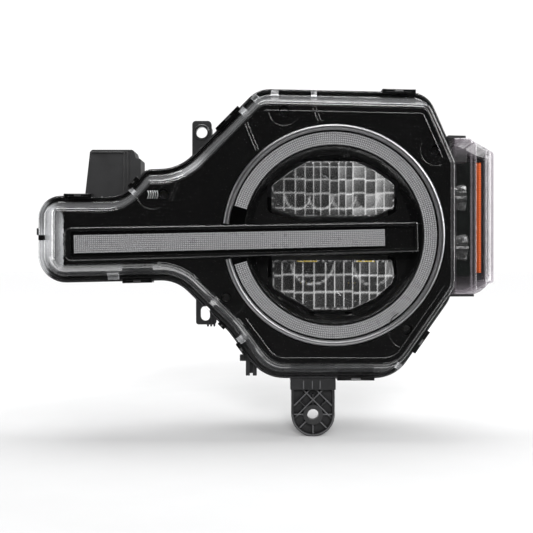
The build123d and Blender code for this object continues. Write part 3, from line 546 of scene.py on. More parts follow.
FLANGE = Outline(
    corners=(
        (-ARM, -51.0), (-ARM, 43.4), (-RING - 110, 43.4), (-RING - 84, 72.0), (-RING - 48, 73.0),
        (-RING + 37, BODY_TOP), (RING - 14, BODY_TOP - 4), (BODY_SIDE, RING - 21),
        (BODY_SIDE, -RING + 51), (RING - 49, BODY_BOTTOM), (-RING + 43, BODY_BOTTOM),
        (-RING + 5, -RING + 14), (-RING - 51, -47.8)),
    radii=(30, 24, 28, 14, 50, 32, 28, 12, 30, 42, 45, 40, 40),
)
LOW_BEAM = Outline(
    corners=((-65.4, 29.2), (-65.4, 54.0), (-45.4, 69.0), (-26.4, 80.0), (24.4, 80.0), (45.4, 70.0),
             (66.4, 55.0), (66.4, 29.2), (42.4, 20.2), (-35.4, 20.2)),
    radii=(3, 4, 6, 8, 8, 6, 3, 4, 8, 8),
)
HIGH_BEAM = Outline(
    corners=((-64.4, -55.6), (-64.4, -25.8), (64.4, -25.8), (66.4, -44.8), (63.4, -51.8), (46.4, -67.1),
             (18.4, -79.6), (-22.4, -79.6), (-44.4, -67.1)),
    radii=(4, 3, 3, 3, 3, 6, 6, 6, 6),
)


def lens_amounts(share: float) -> Array:
    """How far each side of the lens wall stands in from the flange, at its foot (0) to its front (1)."""
    amounts = np.full(len(FLANGE.corners), 7.0 + 9.0 * share)
    amounts[END_SIDE] = 7.0 + 16.0 * share
    amounts[TOP_SIDE] = 7.0 + 12.0 * share
    amounts[OUTBOARD_SIDE] = 3.0
    amounts[OUTBOARD_SIDE - 1] = (amounts[TOP_SIDE] + 3.0) / 2
    amounts[OUTBOARD_SIDE + 1] = (amounts[OUTBOARD_SIDE + 2] + 3.0) / 2
    return amounts


def lathe(surface: Surface, section: Array, angles: Array) -> None:
    """Turns a closed section part of the way round the ring's axis and closes its two ends."""
    section = np.vstack([section, section[:1]])
    radius, depth = section[:, 0, None], section[:, 1, None]
    points = joined(radius * np.cos(angles), depth, radius * np.sin(angles))
    surface.grid(points)
    surface.cap(points[:-1, 0])
    surface.cap(points[:-1, -1])


def ribbon(surface: Surface, path: Array, depth: float | Array, width: float, height: float,
           sink: float = 0.3, tone: float = 0.0) -> None:
    """Lays a half-round bead along an open path of x and z, standing forward of a depth."""
    step = np.gradient(path, axis=0)
    step /= np.linalg.norm(step, axis=1, keepdims=True)
    side = np.stack([-step[:, 1], step[:, 0]], 1)
    turn = np.linspace(0, math.pi, 7)
    across = np.concatenate([width / 2 * np.cos(turn), [-width / 2, width / 2, width / 2]])
    lift = np.concatenate([height * np.sin(turn), [-sink, -sink, 0]])
    flat = path[None] + side[None] * across[:, None, None]
    depth = np.broadcast_to(depth, (len(path),))
    points = np.stack([flat[..., 0], depth[None] - lift[:, None], flat[..., 1]], -1)
    surface.grid(points, tone=tone)
    surface.cap(points[:-1, 0])
    surface.cap(points[:-1, -1])


def straight(start: tuple[float, float], end: tuple[float, float], count: int = 12) -> Array:
    """Points along a straight line of x and z."""
    return np.linspace(start, end, count)


def arc_line(centre: tuple[float, float], radius: float, start: float, end: float, count: int = 40) -> Array:
    """Points along an arc of x and z between two angles in degrees."""
    angle = np.radians(np.linspace(start, end, count))
    return np.array(centre) + radius * np.stack([np.cos(angle), np.sin(angle)], 1)


def extent(outline: Array, x: Array) -> tuple[Array, Array]:
    """Lowest and highest z of a closed outline on each vertical line x."""
    here, after = outline, np.roll(outline, -1, axis=0)
    run = after[:, 0] - here[:, 0]
    run = np.where(np.abs(run) < 1e-9, 1e-9, run)
    share = (x[:, None] - here[None, :, 0]) / run[None]
    hit = (share >= 0) & (share <= 1)
    z = here[None, :, 1] + share * (after - here)[None, :, 1]
    return np.where(hit, z, np.inf).min(1), np.where(hit, z, -np.inf).max(1)


# ---------------------------------------------------------------- clear outer lens


@dataclass
class OuterLens:
    """The clear cover: foot on the flange, tongue in the channel, drafted wall and flat front."""

    front: float = -LENS_REACH
    wall: float = 3.0
    edge_radius: float = 3.0
    foot: float = -4.0
    wall_depths: tuple[float, ...] = (-26.0, -20.0, -14.0, -8.0, -5.6)
    foot_inset: float = FOOT_INSET
    # Painted light on the wall: a lighter arm's end, a highlight streak above the step, and a lighter foot at
    # the arm's end.
    end_x: float = -302.0
    end_tone: float = 0.35
    middle_z: float = 20.0
    middle_half: float = 46.0
    streak: tuple[float, float] = (-156.0, 80.0)
    streak_reach: float = 26.0
    streak_tone: float = 0.3
    foot_end_x: float = -306.0
    foot_tone: float = 0.75
    windows: tuple[tuple[int, float, float], ...] = (
        (5, 0.10, 8.0), (5, 0.33, 6.0), (4, 0.76, 7.0), (4, 0.92, 7.0), (10, 0.76, 8.0), (8, 0.88, 7.0),
        (2, 0.30, 5.0), (12, 0.45, 12.0))
    window_edge: float = 1.2
    window_profile: tuple[tuple[float, float], ...] = (
        (2.2, -4.2), (2.2, -5.4), (6.4, -6.6), (8.2, -9.0), (9.6, -14.0), (9.6, -4.2))
    land_start: float = 23.5
    land_width: float = 10.5
    land_middle: float = -5.5
    land_half: float = 33.0
    land_thick: float = 1.4
    key_across: tuple[float, float] = (1.0, 15.0)
    key_up: tuple[float, float] = (-4.5, 0.8)
    key_thick: float = 1.3

    def share(self, depth: float) -> float:
        """How far up the drafted wall a depth is."""
        return (self.foot + 1 - depth) / (self.foot + 1 - self.front)

    def row(self, offset: float, depth: float) -> Array:
        """One loop of the wall, moved in by the offset, at a depth."""
        share = min(max(self.share(depth), 0.0), 1.0)
        return at_depth(FLANGE.loop(lens_amounts(share) + offset), depth)

    def painted_wall_light(self) -> Array:
        """Painted reflection on each column of the wall: lighter at the arm's end, and a painted highlight
        streak above the step in the outline.
        """
        loop = FLANGE.loop(0.0)
        end = fade((loop[:, 0] - self.end_x) * 0.35)
        middle = np.exp(-(((loop[:, 1] - self.middle_z) / self.middle_half) ** 6))
        away = np.hypot(loop[:, 0] - self.streak[0], loop[:, 1] - self.streak[1])
        streak = bump(away, self.streak_reach)
        return np.clip(end * middle * self.end_tone + self.streak_tone * streak, 0, 1)

    def build(self, paints: Paints) -> None:
        """Builds the lens as one closed shell and the small clear blocks that bridge its foot."""
        surface = Surface()
        radius = self.edge_radius
        rows = [self.row(radius + 1.0, self.front)]
        for turn in np.linspace(0, math.pi / 2, 8):
            rows.append(self.row(radius * (1 - math.sin(turn)), self.front + radius * (1 - math.cos(turn))))
        rows += [self.row(0, depth) for depth in self.wall_depths]
        rows += [self.row(-0.4, -4.6), self.row(-1.2, self.foot - 0.1)]
        for inset, depth in ((self.foot_inset + 0.5, self.foot), (self.foot_inset, self.foot + 0.5),
                             (self.foot_inset, 0.0), (3.4, 0.0), (3.4, 8.0), (5.8, 8.0), (5.8, 0.0)):
            rows.append(at_depth(FLANGE.loop(inset), depth))
        inner = self.front + self.wall
        rows += [self.row(self.wall, depth) for depth in (0.0, -5.0, -14.0, -22.0, inner + 2.0)]
        rows += [self.row(self.wall + 0.6, inner + 0.6), self.row(self.wall + 2.0, inner),
                 self.row(self.wall + 3.0, inner)]
        grid = np.stack(rows)
        # Painted light: the wall's painted reflection, and a lighter foot towards the arm's end, less so
        # about z 22.
        depth, end = grid[:, :, 1], fade(grid[:, :, 0] - self.foot_end_x)
        painted_sheen = self.painted_wall_light()[None, :] * (depth < self.foot - 0.5) * (depth > self.front + 0.7)
        on_foot = (depth >= self.foot - 0.2) * (depth <= 0.0)
        foot = end * on_foot * (1 - bump(grid[:, :, 2] - 22.0, 30.0) * 0.5)
        tone = painted_sheen + self.foot_tone * foot
        tone[[0, 1, -3, -2, -1]] = 0.0
        surface.grid(grid, wrap=True, tone=tone)
        surface.cap(grid[0])
        surface.cap(grid[-1])
        surface.build("lens_cover", paints, "clear_polycarbonate",
                      replaces=("outer_lens",), sharp=40)
        self.build_windows(paints)

    def build_windows(self, paints: Paints) -> None:
        """Builds the clear blocks: short raised ribs that cross the foot and climb the wall."""
        surface = Surface()
        edge, profile = self.window_edge, np.array(self.window_profile)
        for side, share, length in self.windows:
            middle, along, inward = FLANGE.spot(side, share)
            # Painted highlight: each block's two end walls carry tone 0.5, its middle 0.1.
            blocks = ((-length / 2, edge, 0.5), (length / 2 - edge, edge, 0.5),
                      (edge - length / 2, length - 2 * edge, 0.1))
            for shift, width, tone in blocks:
                base = middle + along * shift
                near = base[None] + inward[None] * profile[:, :1]
                far = near + along[None] * width
                pair = np.stack([at_depth(near, profile[:, 1]), at_depth(far, profile[:, 1])])
                surface.grid(pair, wrap=True, tone=tone)
                surface.cap(pair[0], tone=tone)
                surface.cap(pair[1], tone=tone)
        surface.build("lens_foot_ribs", paints, "clear_polycarbonate")
        self.build_key(paints)
        self.build_land(paints)

    def build_land(self, paints: Paints) -> None:
        """Builds the land inside the arm's end, where the lens is moulded thicker; its painted light rises
        across it and fades towards its top and bottom.
        """
        surface = Surface()
        across = np.linspace(0, 1, 14)[None, :]
        up = np.linspace(-1, 1, 30)[:, None]
        x = -ARM + self.land_start + self.land_width * across
        y = self.front + self.wall + 0.2 + 0.5 * across ** 2
        face = joined(x, y, self.land_middle + up * (self.land_half - 7.0 * across ** 4))
        tone = (0.25 + 0.6 * across) * (1 - 0.35 * np.abs(up) ** 3)
        surface.plate(face, (0, self.land_thick, 0), tone=tone)
        surface.build("lens_end_land", paints, "clear_polycarbonate", sharp=60)

    def build_key(self, paints: Paints) -> None:
        """Builds the black key that bridges the foot at the arm's end."""
        surface = Surface()
        x = np.linspace(-ARM + self.key_across[0], -ARM + self.key_across[1], 8)[None, :]
        z = np.array(self.key_up)[:, None]
        surface.plate(joined(x, -5.2 - 0.7 * np.clip(x + ARM - 8.0, 0, 6), z), (0, self.key_thick, 0))
        surface.build("lens_foot_key", paints, "satin_black")


# ---------------------------------------------------------------- bezel, ring and light guides


@dataclass
class BezelTrim:
    """Raised lines on the gloss panel: a bead along its edge, paired ribs and arcs round the screws."""

    face: float = -30.4
    bead_inset: float = 5.2
    bead_width: float = 1.4
    bead_height: float = 1.0
    per_corner: int = 18
    spans: tuple[tuple[float, float], ...] = ((5.15, 7.05), (8.55, 11.3))
    pairs: tuple[tuple[tuple[float, float], tuple[float, float]], ...] = (
        ((-92.0, 117.0), (-80.5, 89.0)), ((-21.0, 134.0), (-14.5, 118.5)), ((-163.0, 56.0), (-171.5, 36.0)))
    arcs: tuple[tuple[float, float, float, float, float], ...] = (
        (-52.5, 130.5, 16.0, 185, 330), (107.0, 89.0, 16.5, 150, 290), (76.9, -99.5, 20.0, 120, 250),
        (-113.0, -65.8, 20.0, -70, 75), (-190.0, 44.0, 17.0, 190, 300))
    rib_width: float = 0.9
    rib_height: float = 0.7
    arc_height: float = 0.6
    pair_shift: float = 1.5
    coil_from: float = -195.5
    coil_to: float = -186.0
    coil_beads: int = 5
    coil_middle: float = 42.3
    coil_radius: float = 7.5
    coil_back: float = 6.0

    def build(self, paints: Paints) -> None:
        """Builds every raised line as one piece."""
        surface = Surface()
        loop = FLANGE.loop(lens_amounts(1.0) + 3.8 + self.bead_inset)
        for start, end in self.spans:
            picked = loop[int(start * self.per_corner):int(end * self.per_corner)]
            ribbon(surface, picked, self.face, self.bead_width, self.bead_height)
        for start, end in self.pairs:
            along = np.array(end) - np.array(start)
            side = np.array([-along[1], along[0]]) / np.linalg.norm(along)
            for shift in (-self.pair_shift, self.pair_shift):
                path = straight(start, end) + side * shift
                ribbon(surface, path, self.face, self.rib_width, self.rib_height)
        for x, z, radius, start, end in self.arcs:
            path = arc_line((x, z), radius, start, end)
            ribbon(surface, path, self.face, self.rib_width, self.arc_height)
        surface.build("bezel_raised_lines", paints, "gloss_black")
        coil = Surface()
        for x in np.linspace(self.coil_from, self.coil_to, self.coil_beads):
            path = arc_line((x - self.coil_back, self.coil_middle), self.coil_radius, -34, 34, 14)
            ribbon(coil, path, self.face, 1.5, 1.1)
        coil.build("bezel_bright_coil", paints, "bright_trim")


@dataclass
class ScrewHeads:
    """Round screw heads with a six-lobed recess, standing for the bezel's screws."""

    places: tuple[tuple[float, float], ...] = (
        (-52.5, 130.5), (107.0, 89.0), (76.9, -99.5), (-113.0, -65.8), (-179.0, 43.0))
    seat: float = -20.4
    radius: float = 4.4
    height: float = 3.2
    shank: float = 2.2
    length: float = 12.5
    recess: float = 2.0
    recess_depth: float = 1.9
    lobes: int = 6
    lobe_depth: float = 0.16
    rings: tuple[float, ...] = (0.0, 0.7, 1.2, 1.5, 1.7, 1.9, 2.1, 2.3, 2.6, 3.2, 3.8, 4.2, 4.4)

    def build(self, paints: Paints) -> None:
        """Builds the heads: a dome over radius and angle, less a recess whose edge waves six times a turn."""
        surface = Surface()
        angle = np.linspace(0, math.tau, 49)
        radius, turn = np.array(self.rings)[:, None], angle[None, :]
        dome = self.height * np.sqrt(np.clip(1 - (radius / (self.radius * 1.25)) ** 2, 0, 1))
        edge = self.recess * (1 + self.lobe_depth * np.cos(self.lobes * turn))
        sunk = self.recess_depth * fade((radius - edge) * 14)
        for x, z in self.places:
            depth = self.seat - dome + sunk
            head = np.stack([x + radius * np.cos(turn), depth, z + radius * np.sin(turn)], -1)
            rim = [(self.radius, self.seat), (self.shank, self.seat), (self.shank, self.seat + self.length),
                   (0.0, self.seat + self.length)]
            rest = np.stack([joined(x + r * np.cos(angle), y, z + r * np.sin(angle)) for r, y in rim])
            surface.grid(np.concatenate([head, rest]))
        surface.build("bezel_screw_heads", paints, "zinc_steel",
                      replaces=("bezel_screws",), sharp=50)


@dataclass
class TrimRing:
    """The bright rounded ring, cut where the bar tray crosses it."""

    outer: float = RING
    inner: float = 110.6
    front: float = -32.4
    back: float = -23.4
    cut_top: float = 11.5
    cut_bottom: float = -24.6
    crown: float = 4.6

    def build(self, paints: Paints) -> None:
        """Turns a section with a round crown."""
        surface = Surface()
        turn = np.linspace(0, math.pi, 15)
        half = (self.outer - self.inner) / 2
        rise = self.front + self.crown - self.crown * np.sin(turn)
        crown = np.stack([self.inner + half + half * np.cos(turn), rise], 1)
        section = np.vstack([[[self.outer, self.back]], crown, [[self.inner, self.back]]])
        start = math.pi - math.asin(self.cut_top / self.inner)
        end = -math.pi + math.asin(-self.cut_bottom / self.inner)
        lathe(surface, section, np.linspace(start, end, 241))
        surface.build("halo_ring_bright", paints, "bright_trim",
                      replaces=("halo_trim_ring",), sharp=50)


def cell_steps(length: float, pitch: float) -> tuple[Array, Array]:
    """Three steps to a cell along a length: each step's share of it, and whether it is on the flat top."""
    cells = round(length / pitch)
    share = (np.arange(cells)[:, None] + np.array([0.0, 0.24, 0.76])[None, :]).reshape(-1) / cells
    top = np.tile([0.0, 1.0, 1.0], cells)
    return np.append(share, 1.0), np.append(top, 0.0)


@dataclass
class HaloGuide:
    """The ring light guide with its field of small prisms."""

    outer: float = 109.0
    inner: float = 95.4
    front: float = -26.0
    back: float = -20.0
    gap: float = 16.5
    pitch: float = 2.1
    prism: float = 0.5

    def build(self, paints: Paints) -> None:
        """Builds a slab whose front is flat-topped prisms laid out over angle and radius, the tops lifted by
        painted highlight and the valleys left as painted shade.
        """
        surface = Surface()
        span = math.tau - 2 * math.radians(self.gap)
        turn, turn_top = cell_steps(span * (self.outer + self.inner) / 2, self.pitch)
        reach, reach_top = cell_steps(self.outer - self.inner, self.pitch)
        angle = math.pi - math.radians(self.gap) - turn * span
        radius = self.inner + (self.outer - self.inner) * reach
        # Painted light: tone 1 on the prism tops, 0 in the valleys between them.
        tone = reach_top[:, None] * turn_top[None, :]
        lift = self.prism * tone
        x, z = radius[:, None] * np.cos(angle), radius[:, None] * np.sin(angle)
        front = joined(x, self.front + self.prism - lift, z)
        back = joined(x, self.back, z)
        surface.slab(front, back, tone=tone)
        surface.build("halo_guide_prisms", paints, "light_guide",
                      replaces=("halo_light_guide",), sharp=20)


@dataclass
class BarTray:
    """The gloss tray across the ring: round edges, a flat lip and the recess that the bar guide sits in."""

    left: float = -283.0
    right: float = 88.7
    height: float = 34.2
    taper: float = 2.0
    centre: float = -3.8
    tilt: float = 1.25
    front: float = -32.4
    back: float = -21.4
    floor: float = -24.4
    edge: float = 2.8
    recess: tuple[float, ...] = (7.5, 4.5, 4.0, 4.5)

    def build(self, paints: Paints) -> None:
        """Builds loops from the rear, over the round outer edge and the lip, to the recess floor."""
        surface = Surface()
        tall, low = (self.height + self.taper) / 2, (self.height - self.taper) / 2
        outline = Outline(((self.left, -tall), (self.left, tall), (self.right, low), (self.right, -low)),
                          (8.0, 8.0, 2.5, 2.5))
        recess = np.array(self.recess)
        steps = [(np.zeros(4), self.back)]
        for turn in np.linspace(0, math.pi / 2, 8):
            amounts = np.full(4, self.edge * (1 - math.cos(turn)))
            steps.append((amounts, self.front + self.edge * (1 - math.sin(turn))))
        steps += [(recess - 1.0, self.front), (recess - 0.3, self.front + 0.3), (recess, self.front + 1.0),
                  (recess + 0.6, self.floor)]
        angle = math.radians(self.tilt)
        rows = []
        for amounts, depth in steps:
            loop = outline.loop(amounts, arc=10, straight=30)
            turned = np.stack([loop[:, 0] * math.cos(angle) - loop[:, 1] * math.sin(angle),
                               self.centre + loop[:, 0] * math.sin(angle) + loop[:, 1] * math.cos(angle)], 1)
            rows.append(at_depth(turned, depth))
        grid = np.stack(rows)
        surface.grid(grid, wrap=True)
        surface.cap(grid[0])
        surface.cap(grid[-1])
        surface.build("bar_tray_gloss", paints, "gloss_black",
                      replaces=("bar_tray",), sharp=40)


@dataclass
class BarGuide:
    """The straight light guide across the ring, with the same prisms."""

    left: float = -272.5
    right: float = 53.3
    height: float = 18.4
    taper: float = 0.7
    centre: float = -3.8
    tilt: float = 1.25
    front: float = -32.4
    back: float = -26.0
    sunk: float = 1.0
    pitch: float = 2.1
    prism: float = 0.5

    def build(self, paints: Paints) -> None:
        """Builds a slab on the bar's tilted line, its half height falling evenly from left to right; the
        prism tops carry painted highlight and the valleys painted shade.
        """
        surface = Surface()
        share, share_top = cell_steps(self.right - self.left, self.pitch)
        rise, rise_top = cell_steps(self.height, self.pitch)
        share = share[None, :]
        along = self.left + (self.right - self.left) * share
        z = (2 * rise[:, None] - 1) * (self.height + self.taper * (1 - 2 * share)) / 2
        # Painted light: tone 1 on the prism tops, 0 in the valleys between them.
        tone = rise_top[:, None] * share_top[None, :]
        lift = self.prism * tone
        angle = math.radians(self.tilt)
        across = along * math.cos(angle) - z * math.sin(angle)
        rise = self.centre + along * math.sin(angle) + z * math.cos(angle)
        front = joined(across, self.front + self.sunk - lift, rise)
        back = joined(across, self.back, rise)
        surface.slab(front, back, tone=tone)
        surface.build("bar_guide_prisms", paints, "light_guide",
                      replaces=("bar_light_guide",), sharp=20)


# ---------------------------------------------------------------- beam modules


@dataclass
class BeamLens:
    """A clear lens block cut into rows of upright flutes."""

    name: str
    outline: Outline
    rows: tuple[float, ...]
    pitch: float = 9.6
    face: float = -10.0
    back: float = 6.0
    bevel: float = 1.2
    flute: float = 1.1
    pillow: float = 0.4
    steps: int = 8
    # Painted light: bright_side and lines set how light the cells and their border lines are painted, and
    # arcs place the bowls' painted rim highlights.
    bright_side: float = 0.35
    lines: float = 0.5
    uneven: float = 0.3
    stagger: float = 1.3
    arcs: tuple[tuple[float, float, float], ...] = ()
    seed: int = 5

    def build(self, paints: Paints) -> None:
        """Builds the block.

        The front rises and falls as a cylinder across each flute and a shallow one up each row, with a narrow
        groove on every line between them. Each column is cut off where it meets the outline.
        """
        surface = Surface()
        inner, outer = self.outline.loop(self.bevel), self.outline.loop(0.0)
        low, high = inner[:, 0].min() + 0.01, inner[:, 0].max() - 0.01
        cells = round((high - low) / self.pitch)
        chance = np.random.default_rng(self.seed)
        edges = np.concatenate([[0.0], np.cumsum(1 + self.uneven * chance.uniform(-1, 1, cells))])
        x = low + (high - low) * np.interp(np.arange(cells * self.steps + 1) / self.steps, range(cells + 1),
                                           edges / edges[-1])
        outer_low, outer_high = outer[:, 0].min() + 0.01, outer[:, 0].max() - 0.01
        wide = outer_low + (outer_high - outer_low) * (x - low) / (high - low)
        bounds = [inner[:, 1].min(), *self.rows, inner[:, 1].max()]
        z = np.concatenate([np.linspace(a, b, self.steps, endpoint=False) for a, b in zip(bounds, bounds[1:])]
                           + [[bounds[-1]]])
        row = np.tile(np.arange(self.steps) / self.steps, len(bounds) - 1)
        row = np.append(row, 0.0)[:, None]
        column = (np.arange(x.size) % self.steps / self.steps)[None, :]
        lift = self.flute * (1 - (2 * column - 1) ** 2) + self.pillow * (1 - (2 * row - 1) ** 2)
        size_z = np.diff(np.append(bounds, bounds[-1] + 1)).max()
        border = np.minimum(np.minimum(column, 1 - column) * self.pitch, np.minimum(row, 1 - row) * size_z)
        bottom, top = extent(inner, x)
        rise = (z - bounds[0]) / (bounds[-1] - bounds[0])
        cell = np.minimum(np.arange(x.size) // self.steps, cells - 1)
        step = self.stagger * chance.uniform(-1, 1, cells)[cell]
        height = np.clip(z[:, None] + step[None] * np.sin(math.pi * rise)[:, None], bottom[None], top[None])
        shade = self.shading(x.size, z.size, column, row)
        # Painted highlight: bright lines on the cell borders, each cell's painted light from shading, and the
        # bowls' rims painted over them.
        tone = np.maximum(bump(border, 0.8) * np.clip(self.lines + 2.0 * shade, 0, 1), shade)
        x_grid = np.broadcast_to(x, height.shape)
        tone = np.maximum(tone, 0.55 * self.painted_rim_lines(x_grid, height))
        front = joined(x_grid, self.face + self.flute + self.pillow - lift, height)
        wide_bottom, wide_top = extent(outer, wide)
        wide_z = np.where(height >= top - 1e-6, wide_top, height)
        wide_z = np.where(height <= bottom + 1e-6, wide_bottom, wide_z)
        wide_x = np.broadcast_to(wide, height.shape)
        waist = joined(wide_x, self.face + self.bevel + 1.4, wide_z)
        back = joined(wide_x, self.back, wide_z)
        # The back carries the painted rim highlights, the side walls a faint painted light.
        surface.grid(front, tone=tone)
        surface.grid(back, tone=0.8 * self.painted_rim_lines(wide_x, wide_z))
        for pick in (np.s_[0], np.s_[-1], np.s_[:, 0], np.s_[:, -1]):
            surface.grid(np.stack([front[pick], waist[pick], back[pick]]), tone=0.05)
        surface.build(f"{self.name}_lens_fluted", paints, "clear_optics", body=Body.BEAMS,
                      replaces=(f"{self.name}_lens",), sharp=30)

    def painted_rim_lines(self, x: Array, z: Array) -> Array:
        """Painted highlight of the bowls' rims behind the lens: how near each point is to the lower half of a
        bowl's edge, 1 on it and 0 away from it.
        """
        edges = np.zeros_like(x)
        for centre_x, centre_z, radius in self.arcs:
            gap = np.hypot(x - centre_x, z - centre_z) - radius
            edges = np.maximum(edges, bump(gap, 1.4) * (z < centre_z))
        return edges

    def shading(self, columns: int, rows: int, column: Array, row: Array) -> Array:
        """How much each cell catches the light: uneven from cell to cell, and more to the right.

        Args:
            columns: number of points across the lens.
            rows: number of points up the lens.
            column: how far across its cell each point across is.
            row: how far up its cell each point up is.

        Returns:
            A tone for every point of the front.
        """
        chance = np.random.default_rng(self.seed)
        across, up = np.arange(columns) // self.steps, np.arange(rows) // self.steps
        cells = chance.uniform(0.0, 1.0, (up[-1] + 1, across[-1] + 1)) ** 1.5
        each = cells[up[:, None], across[None, :]]
        right = np.linspace(0, 1, columns)[None, :]
        base = 0.05 + self.bright_side * right ** 1.5
        return base * (0.35 + each) * (1.2 - 0.6 * column) * (0.7 + 0.5 * row)


@dataclass
class BeamReflector:
    """A bright plate with round bowls, each faceted in upright strips, behind a beam lens."""

    name: str
    outline: Outline
    bowls: tuple[tuple[float, float, float], ...]
    mouth: float = 7.0
    depth: float = 23.0
    floor: float = 32.4
    facet: float = 4.8
    ripple: float = 0.6
    wall: float = 1.6
    emitters: tuple[tuple[float, float], ...] = ()

    def build(self, paints: Paints) -> None:
        """Builds the plate: as deep as the deepest bowl at each point, plus a ripple across the strips."""
        surface = Surface()
        edge = self.outline.loop(3.0)
        x = np.linspace(max(edge[:, 0].min(), -64.0) + 0.01, min(edge[:, 0].max(), 64.0) - 0.01, 161)
        low, high = extent(edge, x)
        z = low[None] + (high - low)[None] * np.linspace(0, 1, 81)[:, None]
        x_grid = np.broadcast_to(x, z.shape)
        deep = np.zeros_like(z)
        for centre_x, centre_z, radius in self.bowls:
            away = ((x_grid - centre_x) ** 2 + (z - centre_z) ** 2) / radius ** 2
            deep = np.maximum(deep, self.depth * np.clip(1 - away, 0, 1))
        strip = (x_grid / self.facet) % 1.0
        ripple = self.ripple * (1 - (2 * strip - 1) ** 2) * np.clip(deep / 4, 0.3, 1)
        y = np.minimum(self.mouth + deep, self.floor - self.wall) - ripple
        front = np.stack([x_grid, y, z], -1)
        surface.plate(front, (0, self.wall, 0))
        surface.build(f"{self.name}_reflector_bowls", paints, "reflector_bright", body=Body.BEAMS,
                      replaces=(f"{self.name}_reflector",), sharp=35)
        if self.emitters:
            self.build_emitters(paints)

    def build_emitters(self, paints: Paints) -> None:
        """Builds the small yellow emitters in a row under the plate's upper edge."""
        surface = Surface()
        top = self.outline.loop(0.6)[:, 1].max()
        for start, end in self.emitters:
            x = np.linspace(start, end, 9)[None, :]
            y = np.array([-0.5, 3.0])[:, None]
            surface.plate(joined(x, y, top - 1.6), (0, 0, 1.4))
        surface.build(f"{self.name}_edge_emitters", paints, "led_phosphor", body=Body.BEAMS)


# ---------------------------------------------------------------- side marker


